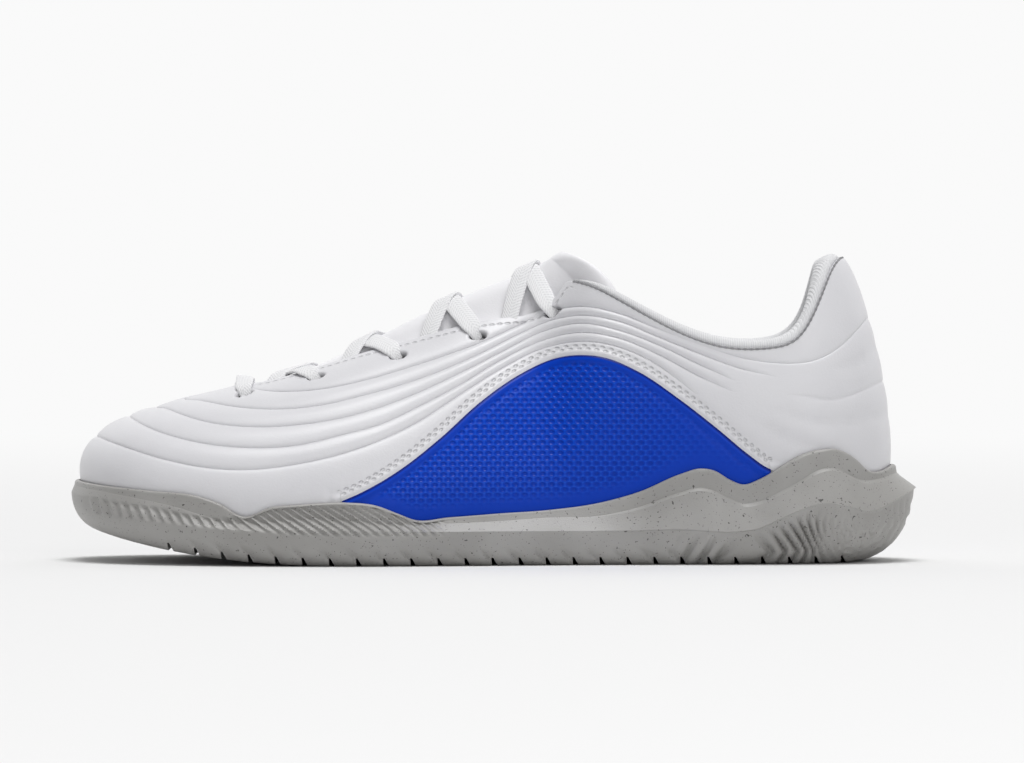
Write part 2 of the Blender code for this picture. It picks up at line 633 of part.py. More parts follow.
def make_tongue():
    """The padded tongue, under the eyestays in front and wrapped round the ankle at its top."""
    sections = []
    for p in np.linspace(TONGUE[0, 0], TONGUE[-1, 0], 15):
        down, inset, share, height = (through(TONGUE, column, p) for column in range(1, 5))
        ridge = BALL_WIDTH * value("ridge", min(p, 12.0))
        centre = np.array((length_at(share), ridge, INSTEP_HEIGHT * height))
        sections.append(tongue_section(p, BALL_WIDTH * down, BALL_WIDTH * inset, centre))
    points = np.array(sections)
    faces = strips(*points.shape[:2], False)
    mesh = mesh_of("tongue", points.reshape(-1, 3), faces, outward=False)
    if mesh.polygons[len(mesh.polygons) // 2].normal.z < 0:
        mesh.flip_normals()
    obj = add_object("tongue", mesh, "white_leather")
    body = obj.modifiers.new("padding", "SOLIDIFY")
    body.thickness = TONGUE_THICKNESS
    body.offset = -1
    return obj


def make_collar():
    """The padded collar, which lines the top of the wall and rolls over its top line."""
    side = np.concatenate([[PADDING[0, 0]], np.arange(12.5, HEEL_STATION + 0.1, 0.5)])
    stations = np.concatenate([-side, side[-2::-1]])
    thick = PAD_THICKNESS * through(PADDING, 1, np.abs(stations)) + LINING
    roll = PAD_ROLL * through(PADDING, 2, np.abs(stations))
    depth = PAD_DEPTH * through(PADDING, 3, np.abs(stations))
    inside = WALL + 2 * CLEARANCE
    outline = [
        (depth, inside), (depth * 0.7, inside), (depth * 0.4, inside), (depth * 0.15, inside),
        (-3 * CLEARANCE, inside),
        (-3 * CLEARANCE, WALL / 3), (-0.7 * roll, WALL / 2), (-roll, inside + 0.3 * thick),
        (-0.7 * roll, inside + 0.7 * thick), (0.1 * roll, inside + 0.95 * thick),
        (depth * 0.25, inside + thick), (depth * 0.6, inside + 0.7 * thick),
        (depth, inside + 0.1 * thick + LINING / 2)]
    rings = [by_rim(stations, down, np.broadcast_to(inset, stations.shape)) for down, inset in outline]
    sections = np.swapaxes(np.array(rings), 0, 1)
    return add_object("collar", lofted_solid("collar", list(sections)), "knit_lining")


# Lacing

def surface_of(obj):
    """The evaluated surface of an object, for finding how high it stands under a point."""
    seen = obj.evaluated_get(bpy.context.evaluated_depsgraph_get())
    return BVHTree.FromPolygons([v.co.copy() for v in seen.data.vertices],
                                [tuple(f.vertices) for f in seen.data.polygons])


def height_under(tree, x, y):
    hit = tree.ray_cast(Vector((x, y, 1)), Vector((0, 0, -1)))[0]
    return hit.z if hit else -1.0


def pulled_tight(heights):
    """The upper hull of a row of heights, as a lace lies that is pulled tight over them."""
    count = len(heights)
    held = heights.copy()
    for j in range(count):
        for k in range(j + 2, count):
            t = np.arange(1, k - j) / (k - j)
            held[j + 1:k] = np.maximum(held[j + 1:k], heights[j] * (1 - t) + heights[k] * t)
    return held


def lace_mesh(name, start, end, over, lace_lift):
    """A flat ribbon laid over the surfaces in over, a function that gives the trees at a share."""
    steps = np.linspace(0, 1, 17)
    widths = np.linspace(-1, 1, 5)
    run = np.array((end - start).to_2d())
    across = np.array((-run[1], run[0])) / np.linalg.norm(run) * LACE_WIDTH / 2
    plan = np.array(start.to_2d()) + steps[:, None, None] * run + widths[:, None] * across
    held = np.array([[max(height_under(tree, *point) for tree in over(s)) for point in row]
                     for s, row in zip(steps, plan)])
    chord = held[:, :1] + (held[:, -1:] - held[:, :1]) * (widths + 1) / 2
    held = chord[:, (0, -1)] + np.max(held - chord, axis=1, keepdims=True) + lace_lift
    left = np.column_stack([plan[:, 0], pulled_tight(held[:, 0])])
    right = np.column_stack([plan[:, -1], pulled_tight(held[:, 1])])
    forward = np.gradient((left + right) / 2, axis=0)
    normal = np.cross(right - left, forward)
    normal /= np.linalg.norm(normal, axis=1, keepdims=True)
    lift = normal * np.sign(normal[:, 2:]) * LACE_THICKNESS
    sections = [np.array(corner) for corner in zip(left, right, right + lift, left + lift)]
    return lofted_solid(name, sections)


def make_laces(upper, tongue):
    """A straight bar at the first eyelets, then a joined crossing between each two pairs."""
    shell, body = surface_of(upper), surface_of(tongue)
    lift = 3 * CLEARANCE
    stations = {side: [eyelet_station(side, *eyelet) for eyelet in EYELETS] for side in (-1, 1)}

    def at(p, down):
        return Vector(by_rim(p, down, 0.0)[0])

    def above(number):
        return max(EYELETS[number][1] - EYELET_WIDTH, EYELET_WIDTH / 2)

    first = {side: at(stations[side][0], above(0)) for side in (-1, 1)}
    bar = lace_mesh("lace_bar", first[-1], first[1], lambda s: (shell, body), lift)
    add_object("lace_bar", bar, "lace_cloth")
    for number in range(1, len(EYELETS)):
        ribbons = []
        for side in (-1, 1):
            own, far = stations[side], stations[-side]
            start = at(own[number], above(number))
            emerging = far[number - 1] + 0.32 * (far[number] - far[number - 1])
            end = at(emerging, 0.0)
            end = end + (start - end).normalized() * LACE_WIDTH * 0.85
            level = lift if side < 0 else lift + 0.4 * LACE_THICKNESS
            ribbons.append(lace_mesh(
                "lace_ribbon", start, end, lambda s: (shell, body) if s < 0.5 else (body,), level))
        obj = add_object(f"lace_cross_{number}", ribbons[0], "lace_cloth")
        cut(obj, add_cutter(f"lace_under_{number}", [ribbons[1]]), "UNION")


# Assembly

for _old in list(bpy.data.objects):
    bpy.data.objects.remove(_old, do_unlink=True)
SHOE = bpy.data.collections.new("indoor_soccer_shoe")
CUTTERS = bpy.data.collections.new("cutters")
for _group in (SHOE, CUTTERS):
    bpy.context.scene.collection.children.link(_group)
MATERIALS = {}
for _name, (_colour, _roughness) in FINISHES.items():
    MATERIALS[_name] = bpy.data.materials.new(_name)
    MATERIALS[_name].use_nodes = True
    _shader = MATERIALS[_name].node_tree.nodes["Principled BSDF"]
    _shader.inputs["Base Color"].default_value = _colour
    _shader.inputs["Roughness"].default_value = _roughness

make_outsole()
make_insole()
shoe_upper = make_upper()
shoe_tongue = make_tongue()
make_collar()
for _side, _place in ((-1, "lateral"), (1, "medial")):
    add_object(f"side_panel_{_place}", panel_mesh(_side, 0.0), "blue_leather")
bpy.context.view_layer.update()
make_laces(shoe_upper, shoe_tongue)
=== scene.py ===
"""Indoor soccer shoe for the left foot, dressed for its looks over its CAD frame.

The toe points to -X, the outer (lateral) side of the foot is at -Y and the floor is z = 0. Every piece
is worked out from one wall: a family of cubic curves that rise from the feather line, where the upper
meets the sole, to the crest, which is the ridge of the vamp in front and the top line of the collar
behind. A place on the wall is a station p, from 0 at the toe tip to 21 at the back of the heel and
negative on the outer side, and a height h from 0 to 1 along the curve. Lengths are in metres.
"""
import logging
from collections.abc import Callable
from dataclasses import dataclass, field
from enum import IntEnum
from functools import cached_property
from math import pi

import bmesh
import bpy
import numpy as np
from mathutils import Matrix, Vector
from mathutils.bvhtree import BVHTree


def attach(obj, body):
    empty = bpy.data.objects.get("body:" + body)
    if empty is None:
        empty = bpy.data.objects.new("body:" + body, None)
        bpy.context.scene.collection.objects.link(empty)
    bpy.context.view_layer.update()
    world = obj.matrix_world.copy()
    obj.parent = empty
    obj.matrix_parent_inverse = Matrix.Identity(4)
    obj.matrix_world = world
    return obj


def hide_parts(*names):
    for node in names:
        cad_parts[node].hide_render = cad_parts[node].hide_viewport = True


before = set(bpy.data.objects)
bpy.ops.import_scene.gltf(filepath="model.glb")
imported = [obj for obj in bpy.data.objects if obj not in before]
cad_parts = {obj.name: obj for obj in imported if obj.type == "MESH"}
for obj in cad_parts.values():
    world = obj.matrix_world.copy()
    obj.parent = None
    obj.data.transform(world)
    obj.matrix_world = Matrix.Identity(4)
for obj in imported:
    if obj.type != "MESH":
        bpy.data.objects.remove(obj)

LOG = logging.getLogger("shoe")
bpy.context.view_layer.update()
Array = np.ndarray
Triple = tuple[float, float, float]
Colour = Triple

# One row for each station from the toe tip to the back of the heel, in shares of the last's sizes
STATIONS = np.array([
    # foot  outer   inner  lean   lift   crest  ridge  half   instep heel   out    drop
    (0.020, 0.071, 0.071, 0.133, 0.243, 0.122, 0.056, 0.000, 0.578, 0.000, 0.143, 0.033),
    (0.027, -0.061, 0.194, 0.133, 0.236, 0.124, 0.056, 0.000, 0.580, 0.000, 0.153, 0.033),
    (0.047, -0.179, 0.281, 0.133, 0.226, 0.132, 0.056, 0.000, 0.587, 0.000, 0.184, 0.032),
    (0.079, -0.276, 0.347, 0.138, 0.208, 0.145, 0.055, 0.000, 0.596, 0.000, 0.230, 0.032),
    (0.122, -0.347, 0.393, 0.143, 0.179, 0.164, 0.053, 0.000, 0.609, 0.000, 0.265, 0.028),
    (0.169, -0.401, 0.421, 0.148, 0.160, 0.189, 0.051, 0.000, 0.628, 0.000, 0.286, 0.022),
    (0.223, -0.439, 0.434, 0.153, 0.151, 0.228, 0.047, 0.000, 0.658, 0.000, 0.291, 0.013),
    (0.284, -0.459, 0.429, 0.153, 0.151, 0.280, 0.041, 0.000, 0.703, 0.000, 0.286, 0.004),
    (0.348, -0.457, 0.403, 0.148, 0.160, 0.343, 0.036, 0.000, 0.771, 0.000, 0.265, -0.004),
    (0.416, -0.429, 0.362, 0.138, 0.179, 0.410, 0.033, 0.000, 0.838, 0.000, 0.240, -0.012),
    (0.483, -0.393, 0.321, 0.128, 0.198, 0.480, 0.031, 0.000, 0.915, 0.000, 0.204, -0.007),
    (0.547, -0.357, 0.298, 0.112, 0.217, 0.544, 0.031, 0.000, 0.993, 0.000, 0.153, 0.019),
    (0.595, -0.335, 0.289, 0.102, 0.226, 0.590, 0.015, 0.148, 1.008, 0.000, 0.102, 0.094),
    (0.642, -0.318, 0.286, 0.092, 0.226, 0.632, 0.008, 0.256, 0.965, 0.000, 0.066, 0.160),
    (0.703, -0.306, 0.286, 0.087, 0.226, 0.696, 0.003, 0.302, 0.428, 0.392, 0.041, 0.160),
    (0.770, -0.298, 0.286, 0.092, 0.217, 0.764, 0.000, 0.312, 0.000, 0.709, 0.036, 0.142),
    (0.831, -0.286, 0.279, 0.097, 0.208, 0.821, 0.000, 0.302, 0.000, 0.702, 0.036, 0.123),
    (0.875, -0.265, 0.260, 0.107, 0.189, 0.856, 0.000, 0.265, 0.000, 0.734, 0.046, 0.132),
    (0.909, -0.219, 0.214, 0.122, 0.170, 0.879, 0.000, 0.212, 0.000, 0.830, 0.061, 0.142),
    (0.933, -0.148, 0.145, 0.143, 0.142, 0.896, 0.000, 0.141, 0.000, 0.940, 0.071, 0.123),
    (0.946, -0.073, 0.073, 0.158, 0.127, 0.908, 0.000, 0.069, 0.000, 0.991, 0.071, 0.075),
    (0.950, 0.000, 0.000, 0.161, 0.125, 0.914, 0.000, 0.000, 0.000, 1.000, 0.070, 0.042),
])
STATION_COLUMNS = ("foot", "outer", "inner", "lean", "lift", "crest", "ridge", "half", "instep", "heel",
                   "out", "drop")
HEEL_STATION = len(STATIONS) - 1
COLLAR_STATION = 12

# Waved edge of the sole: share of the length, height as a share of the sidewall's
SOLE_EDGE = np.array([
    (0.000, 0.715), (0.037, 0.683), (0.099, 0.643), (0.157, 0.598), (0.181, 0.538), (0.210, 0.430),
    (0.242, 0.510), (0.275, 0.533), (0.333, 0.550), (0.362, 0.528), (0.391, 0.450), (0.407, 0.403),
    (0.449, 0.420), (0.507, 0.450), (0.566, 0.478), (0.624, 0.538), (0.671, 0.635), (0.718, 0.785),
    (0.741, 0.833), (0.758, 0.813), (0.776, 0.735), (0.791, 0.695), (0.811, 0.743), (0.834, 0.843),
    (0.857, 0.945), (0.881, 0.995), (0.893, 1.000), (0.905, 0.970), (0.919, 0.908), (0.934, 0.813),
    (0.953, 0.798), (0.969, 0.845),
])

# Steps of the sidewall: share of the length, then the upper ridge and the widest line
SOLE_STEPS = np.array([
    (0.000, 0.660, 0.600), (0.060, 0.600, 0.500), (0.120, 0.520, 0.400), (0.200, 0.375, 0.320),
    (0.280, 0.420, 0.320), (0.410, 0.360, 0.300), (0.500, 0.380, 0.300), (0.570, 0.410, 0.300),
    (0.624, 0.420, 0.300), (0.671, 0.480, 0.305), (0.718, 0.600, 0.313), (0.741, 0.640, 0.305),
    (0.758, 0.615, 0.297), (0.776, 0.550, 0.290), (0.791, 0.505, 0.300), (0.811, 0.520, 0.325),
    (0.834, 0.600, 0.400), (0.857, 0.690, 0.475), (0.881, 0.790, 0.530), (0.893, 0.810, 0.535),
    (0.905, 0.800, 0.520), (0.919, 0.745, 0.500), (0.934, 0.700, 0.465), (0.953, 0.700, 0.480),
    (0.975, 0.740, 0.560), (1.000, 0.757, 0.645),
])

# Sidewall beyond the feather line: share of the length, then widest line and edge of the tread
SOLE_FLANGE = np.array([
    (0.020, 0.062, -0.060), (0.060, 0.071, -0.030), (0.120, 0.080, -0.010), (0.200, 0.082, 0.010),
    (0.300, 0.084, 0.015), (0.420, 0.082, 0.015), (0.550, 0.082, 0.020), (0.650, 0.087, 0.020),
    (0.750, 0.097, 0.010), (0.830, 0.107, 0.000), (0.900, 0.122, -0.030), (0.935, 0.138, -0.060),
    (0.950, 0.151, -0.082),
])

# Rubber under the feather line: share of the length, share of the heel's floor
SOLE_FLOOR = np.array([
    (0.020, 0.400), (0.095, 0.490), (0.200, 0.570), (0.280, 0.595), (0.430, 0.600), (0.500, 0.650),
    (0.600, 0.760), (0.700, 0.890), (0.840, 0.970), (0.950, 1.000),
])

# Humped outline of the side panel: share of the length, share of the heel's height
PANEL_TOP = np.array([
    (0.320, 0.209), (0.345, 0.239), (0.392, 0.315), (0.438, 0.415), (0.484, 0.530), (0.531, 0.621),
    (0.577, 0.677), (0.600, 0.685), (0.624, 0.681), (0.670, 0.631), (0.717, 0.543), (0.763, 0.443),
    (0.798, 0.362), (0.821, 0.317), (0.827, 0.310),
])

# Tongue: station, flank below the edge of the gap and inside the wall, centre line along and up
TONGUE = np.array([
    (5.20, 0.140, 0.030, 0.196, 0.602), (5.80, 0.095, 0.030, 0.219, 0.629),
    (7.00, 0.095, 0.030, 0.280, 0.685), (8.00, 0.095, 0.030, 0.343, 0.772),
    (9.00, 0.095, 0.030, 0.410, 0.874), (10.00, 0.095, 0.030, 0.480, 0.970),
    (11.00, 0.090, 0.032, 0.544, 1.045), (11.60, 0.075, 0.046, 0.561, 1.076),
    (12.30, 0.045, 0.058, 0.574, 1.102), (13.20, 0.020, 0.074, 0.585, 1.116),
])

# Collar padding: station, shares of the pad's thickness, roll and depth
PADDING = np.array([
    (12.1, 0.00, 0.25, 0.70), (13.0, 0.08, 0.45, 0.85), (14.5, 0.80, 0.60, 1.00),
    (16.0, 1.00, 0.60, 1.00), (17.0, 1.00, 0.75, 1.00), (18.0, 1.00, 1.00, 1.00),
    (19.0, 0.95, 0.95, 1.00), (20.0, 0.90, 0.55, 1.00), (21.0, 0.90, 0.35, 1.00),
])

# Moulded grooves of the upper, seen from the side: share of the length, share of the heel's height.
# Each runs from the toe over the side panel to the quarter, or round the back of the heel.
LOWEST_GROOVE = np.array([
    (0.032, 0.415), (0.065, 0.387), (0.112, 0.350), (0.158, 0.325), (0.216, 0.317), (0.275, 0.337),
    (0.321, 0.366), (0.368, 0.411), (0.414, 0.473), (0.461, 0.558), (0.508, 0.639), (0.554, 0.704),
    (0.601, 0.730), (0.647, 0.711), (0.694, 0.649), (0.737, 0.555)])
SECOND_GROOVE = np.array([
    (0.067, 0.483), (0.100, 0.444), (0.147, 0.408), (0.205, 0.389), (0.275, 0.398), (0.321, 0.428),
    (0.368, 0.463), (0.414, 0.522), (0.461, 0.590), (0.508, 0.668), (0.554, 0.730), (0.601, 0.759),
    (0.647, 0.740), (0.694, 0.685), (0.740, 0.616), (0.779, 0.564)])
THIRD_GROOVE = np.array([
    (0.112, 0.512), (0.158, 0.473), (0.216, 0.455), (0.275, 0.463), (0.321, 0.483), (0.368, 0.519),
    (0.414, 0.568), (0.461, 0.629), (0.508, 0.694), (0.554, 0.759), (0.601, 0.789), (0.647, 0.766),
    (0.694, 0.717), (0.740, 0.655), (0.781, 0.600)])
FOURTH_GROOVE = np.array([
    (0.152, 0.538), (0.205, 0.516), (0.251, 0.512), (0.298, 0.525), (0.345, 0.555), (0.391, 0.590),
    (0.438, 0.636), (0.484, 0.691), (0.531, 0.756), (0.566, 0.798), (0.601, 0.815), (0.647, 0.795),
    (0.694, 0.743), (0.740, 0.691), (0.787, 0.642), (0.834, 0.610)])
HIGHEST_GROOVE = np.array([
    (0.205, 0.574), (0.251, 0.568), (0.298, 0.577), (0.345, 0.603), (0.391, 0.639), (0.438, 0.681),
    (0.484, 0.727), (0.531, 0.785), (0.566, 0.828), (0.601, 0.844), (0.647, 0.821), (0.694, 0.769),
    (0.740, 0.720), (0.787, 0.678), (0.828, 0.659), (0.850, 0.657), (0.872, 0.663), (0.902, 0.699),
    (0.923, 0.746), (0.942, 0.800)])
HEEL_GROOVES = (
    np.array([(0.890, 0.640), (0.915, 0.645), (0.937, 0.670), (0.953, 0.716)]),
    np.array([(0.845, 0.555), (0.869, 0.548), (0.892, 0.538), (0.915, 0.548), (0.938, 0.571),
              (0.958, 0.594)]),
    np.array([(0.816, 0.512), (0.845, 0.490), (0.869, 0.470), (0.892, 0.463), (0.927, 0.467),
              (0.959, 0.483)]),
    np.array([(0.796, 0.480), (0.816, 0.447), (0.845, 0.408), (0.869, 0.389), (0.892, 0.379),
              (0.915, 0.385)]),
)

LONG_GROOVES = (LOWEST_GROOVE, SECOND_GROOVE, THIRD_GROOVE, FOURTH_GROOVE, HIGHEST_GROOVE)

# Slanted ribs of the sidewall: share of the length, lowest and highest end, lean
RIB_BAND = np.array([
    (0.010, 0.455, 0.600, 0.20), (0.101, 0.380, 0.515, 0.50), (0.194, 0.313, 0.434, 0.90),
    (0.229, 0.296, 0.502, 1.30), (0.264, 0.279, 0.528, 1.50), (0.426, 0.262, 0.468, 1.60),
    (0.449, 0.262, 0.434, 1.60),
])

# How close the columns of the sole stand: station, share of the usual number
SOLE_DENSITY = np.array([(0.0, 1.2), (9.0, 1.2), (10.5, 0.9), (13.0, 0.9), (14.3, 1.6), (21.0, 1.6)])


class Side(IntEnum):
    """A side of the foot, with the sign of its stations."""

    LATERAL = -1
    MEDIAL = 1

    @property
    def word(self) -> str:
        """The side's name in a node's name."""
        return self.name.lower()


def through(table: Array, column: int, at: Array) -> Array:
    """A smooth curve through one column of a table.

    Formula: cubic Hermite spans between the rows, each slope the centred difference of its
    neighbours; outside the table the curve keeps its end value.

    Args:
        table: rows that rise in their first column.
        column: the column to follow.
        at: where to read it.

    Returns:
        The column's value at each place.
    """
    xs, ys = table[:, 0], table[:, column]
    slopes = np.gradient(ys, xs)
    at = np.clip(at, xs[0], xs[-1])
    i = np.clip(np.searchsorted(xs, at, side="right") - 1, 0, len(xs) - 2)
    width = xs[i + 1] - xs[i]
    t = (at - xs[i]) / width
    return (ys[i] * (1 + 2 * t) * (1 - t) ** 2 + ys[i + 1] * t * t * (3 - 2 * t)
            + width * (slopes[i] * t * (1 - t) ** 2 - slopes[i + 1] * t * t * (1 - t)))


def ramp(value: Array, low: float, high: float) -> Array:
    """A smooth step: 0 below low, 1 above high and 3t^2 - 2t^3 between."""
    t = np.clip((value - low) / (high - low), 0, 1)
    return t * t * (3 - 2 * t)


def bell(value: Array, centre: float, width: float) -> Array:
    """A Gaussian hump: exp(-((value - centre) / width)^2)."""
    return np.exp(-((value - centre) / width) ** 2)


def unit(vectors: Array) -> Array:
    """Vectors of length one along the last axis."""
    return vectors / np.maximum(np.linalg.norm(vectors, axis=-1, keepdims=True), 1e-12)


def run_along(points: Array) -> Array:
    """The length along each row of points, from its first point."""
    steps = np.linalg.norm(np.diff(points, axis=-2), axis=-1)
    return np.concatenate([np.zeros((*steps.shape[:-1], 1)), np.cumsum(steps, axis=-1)], axis=-1)


def first_crossing(measure: Array, steps: Array) -> Array:
    """The step at which each row of a measure first rises past zero.

    Formula: the zero of the straight line between the last value below zero and the next one.

    Args:
        measure: rows of values, one for each step.
        steps: the steps.

    Returns:
        One step for each row, or 1 where it never passes zero.
    """
    passed = measure >= 0
    i = np.clip(np.argmax(passed, axis=1), 1, None)
    rows = np.arange(len(measure))
    before, after = measure[rows, i - 1], measure[rows, i]
    t = np.clip(-before / np.where(after == before, 1, after - before), 0, 1)
    crossing = steps[i - 1] + t * (steps[i] - steps[i - 1])
    return np.where(passed.any(axis=1), crossing, 1.0)


@dataclass(frozen=True)
class Last:
    """The form that the shoe is built on, with the driving sizes of the part."""

    length: float = 0.296
    ball_width: float = 0.098
    instep_height: float = 0.097
    heel_height: float = 0.106
    wall_thickness: float = 0.0024
    sidewall_height: float = 0.040
    heel_floor: float = 0.0185
    toe_spring: float = 0.0145
    flat_start: float = 0.350
    centre_shift: float = 0.0138
    throat_start: float = 0.202
    throat_front: float = 0.0085
    throat_top: float = 0.0130
    throat_round: float = 0.010
    eyelets: tuple[tuple[float, float], ...] = (
        (0.206, 0.0100), (0.291, 0.0080), (0.388, 0.0080), (0.481, 0.0068), (0.569, 0.0044))
    curve_steps: int = 161

    @cached_property
    def steps(self) -> Array:
        """Curve parameters at which a wall curve is sampled."""
        return np.linspace(0.0, 1.0, self.curve_steps)

    @cached_property
    def splines(self) -> dict[str, tuple[Array, Array]]:
        """Each station column carried round the shoe, with its closed cubic spline's bends.

        Formula: the bends m solve m[i-1] + 4 m[i] + m[i+1] = 6 (v[i-1] - 2 v[i] + v[i+1]).

        Returns:
            The values and the bends of each column, by its name.
        """
        found = {}
        for index, name in enumerate(STATION_COLUMNS):
            if name in ("outer", "inner"):
                continue
            values = np.concatenate([STATIONS[::-1, index], STATIONS[1:-1, index]])
            if name == "half":
                values = values * np.concatenate([-np.ones(HEEL_STATION + 1), np.ones(HEEL_STATION - 1)])
            if name == "ridge":
                values = values + self.centre_shift
            found[name] = values
            if name == "foot":
                sides = np.concatenate([STATIONS[::-1, index + 1], STATIONS[1:-1, index + 2]])
                found["side"] = sides + self.centre_shift
        count = 2 * HEEL_STATION
        system = 4 * np.eye(count) + np.roll(np.eye(count), 1, 0) + np.roll(np.eye(count), -1, 0)
        return {name: (v, np.linalg.solve(system, 6 * (np.roll(v, 1) - 2 * v + np.roll(v, -1))))
                for name, v in found.items()}

    def value(self, name: str, p: Array) -> Array:
        """The closed spline of one station column.

        Formula: with t between two rows, v[i] s + v[j] t + ((s^3 - s) m[i] + (t^3 - t) m[j]) / 6,
        where s = 1 - t and m are the bends.

        Args:
            name: the column.
            p: stations.

        Returns:
            Its value at each station.
        """
        values, bends = self.splines[name]
        p = np.asarray(p, float) + HEEL_STATION
        i = np.floor(p).astype(int)
        t = p - i
        i, j = i % len(values), (i + 1) % len(values)
        s = 1 - t
        return (values[i] * s + values[j] * t
                + ((s ** 3 - s) * bends[i] + (t ** 3 - t) * bends[j]) / 6)

    def length_at(self, share: Array) -> Array:
        """X at a share of the length, from the toe."""
        return (share - 0.5) * self.length

    def share_at(self, x: Array) -> Array:
        """Share of the length at X."""
        return x / self.length + 0.5

    def tread_height(self, x: Array) -> Array:
        """Underside of the sole: flat, then rising under the toe with the power 2.5."""
        run = np.clip((self.flat_start - self.share_at(x)) / self.flat_start, 0, 1)
        return self.toe_spring * run ** 2.5

    def feather_height(self, x: Array) -> Array:
        """Height of the feather line."""
        return self.tread_height(x) + self.heel_floor * through(SOLE_FLOOR, 1, self.share_at(x))

    def edge_height(self, x: Array) -> Array:
        """Height of the sole's waved edge."""
        return self.sidewall_height * through(SOLE_EDGE, 1, self.share_at(x))

    def groove_height(self, groove: Array, x: Array) -> Array:
        """Height of a moulded groove."""
        return self.heel_height * through(groove, 1, self.share_at(x))

    def panel_height(self, x: Array) -> Array:
        """Height of the side panel's humped outline."""
        return self.heel_height * through(PANEL_TOP, 1, self.share_at(x))

    def feather(self, p: Array) -> tuple[Array, Array]:
        """The feather line.

        Args:
            p: stations.

        Returns:
            Its points, and its outward directions in plan.
        """
        def plan(q: Array) -> Array:
            """The line's points in plan."""
            return np.stack([self.length_at(self.value("foot", q)),
                             self.ball_width * self.value("side", q)], -1)
        tangent = plan(p + 0.01) - plan(p - 0.01)
        outward = unit(np.stack([-tangent[..., 1], tangent[..., 0]], -1))
        flat = plan(p)
        point = np.concatenate([flat, self.feather_height(flat[..., :1])], -1)
        return point, np.concatenate([outward, np.zeros_like(flat[..., :1])], -1)

    def wall(self, p: Array, h: Array) -> Array:
        """Outer face of the upper.

        Formula: the cubic Bezier curve from the feather line through a handle that leans out and
        lifts, and a handle out from and under the crest, to the crest.

        Args:
            p: stations.
            h: heights along the curve, from 0 to 1.

        Returns:
            The points, with one more axis than p and h.
        """
        p, h = np.broadcast_arrays(np.asarray(p, float), np.asarray(h, float))
        foot, outward = self.feather(p)
        up = np.array((0.0, 0.0, 1.0))
        crest = np.stack([
            self.length_at(self.value("crest", p)),
            self.ball_width * (self.value("ridge", p) + self.value("half", p)),
            self.instep_height * self.value("instep", p) + self.heel_height * self.value("heel", p)], -1)
        low = (foot + self.ball_width * self.value("lean", p)[..., None] * outward
               + self.heel_height * self.value("lift", p)[..., None] * up)
        high = (crest + self.ball_width * self.value("out", p)[..., None] * outward
                - self.heel_height * self.value("drop", p)[..., None] * up)
        h = h[..., None]
        return (foot * (1 - h) ** 3 + low * 3 * h * (1 - h) ** 2
                + high * 3 * h * h * (1 - h) + crest * h ** 3)

    def upward(self, p: Array, h: Array) -> Array:
        """The wall's unit direction of rising height."""
        return unit(self.wall(p, h + 0.005) - self.wall(p, h - 0.005))

    def normal(self, p: Array, h: Array) -> Array:
        """The wall's outward unit normal: its rise crossed with its run."""
        along = self.wall(p + 0.02, h) - self.wall(p - 0.02, h)
        return unit(np.cross(self.upward(p, h), along))

    def skin(self, p: Array, h: Array, inset: Array) -> Array:
        """Points inside the wall's outer face by inset, or outside it where inset is negative."""
        p, h = np.broadcast_arrays(np.asarray(p, float), np.asarray(h, float))
        return self.wall(p, h) - np.asarray(inset)[..., None] * self.normal(p, h)

    def rim(self, p: Array) -> Array:
        """Curve parameter of the upper's top edge.

        Formula: the wall is followed down from the crest until it is further from the ridge line
        than the lacing gap's half width, which grows evenly behind a rounded front end.

        Args:
            p: stations.

        Returns:
            One curve parameter for each station, 1 behind the gap.
        """
        p = np.atleast_1d(np.asarray(p, float))
        points = self.wall(p[:, None], self.steps[None, ::-1])
        x = points[..., 0]
        start = self.length_at(self.throat_start)
        widening = (self.share_at(x) - self.throat_start) / (self.eyelets[-1][0] - self.throat_start)
        half = self.throat_front + (self.throat_top - self.throat_front) * widening
        bow = np.clip(1 - (x - start) / self.throat_round, 0, 1)
        half = np.where(x > start, half * np.sqrt(1 - bow ** 2), 0)
        off_ridge = np.abs(points[..., 1] - self.ball_width * self.value("ridge", p)[:, None])
        found = 1 - first_crossing(off_ridge - half, self.steps)
        return np.where(np.abs(p) < COLLAR_STATION, found, 1.0)

    def height_on_wall(self, p: Array, height: Callable[[Array], Array]) -> Array:
        """Where the wall first reaches a line that is seen from the side.

        Args:
            p: stations.
            height: the line's height at each X.

        Returns:
            One curve parameter for each station.
        """
        p = np.atleast_1d(np.asarray(p, float))
        points = self.wall(p[:, None], self.steps[None, :])
        return first_crossing(points[..., 2] - height(points[..., 0]), self.steps)

    def spread(self, p: Array, low: Array, high: Array, shares: Array) -> Array:
        """Curve parameters that divide each wall curve by its length.

        Formula: the length from low to high is summed over fine steps and read backwards at each
        share of the whole.

        Args:
            p: stations.
            low, high: curve parameters of the two ends at each station.
            shares: shares of the length between them.

        Returns:
            One row of curve parameters for each share.
        """
        steps = low[:, None] + (high - low)[:, None] * self.steps[None, :]
        points = self.wall(p[:, None], steps)
        run = run_along(points)
        return np.stack([np.interp(shares * r[-1], r, s) for r, s in zip(run, steps)], axis=1)

    def below_rim(self, p: Array, down: Array) -> Array:
        """Curve parameters at a distance down the wall from the top edge.

        Args:
            p: stations.
            down: one distance, or one for each station.

        Returns:
            One curve parameter for each station.
        """
        p = np.atleast_1d(np.asarray(p, float))
        steps = self.rim(p)[:, None] * self.steps[None, ::-1]
        points = self.wall(p[:, None], steps)
        run = run_along(points)
        down = np.broadcast_to(down, p.shape)
        return np.array([np.interp(d, r, s) for d, r, s in zip(down, run, steps)])

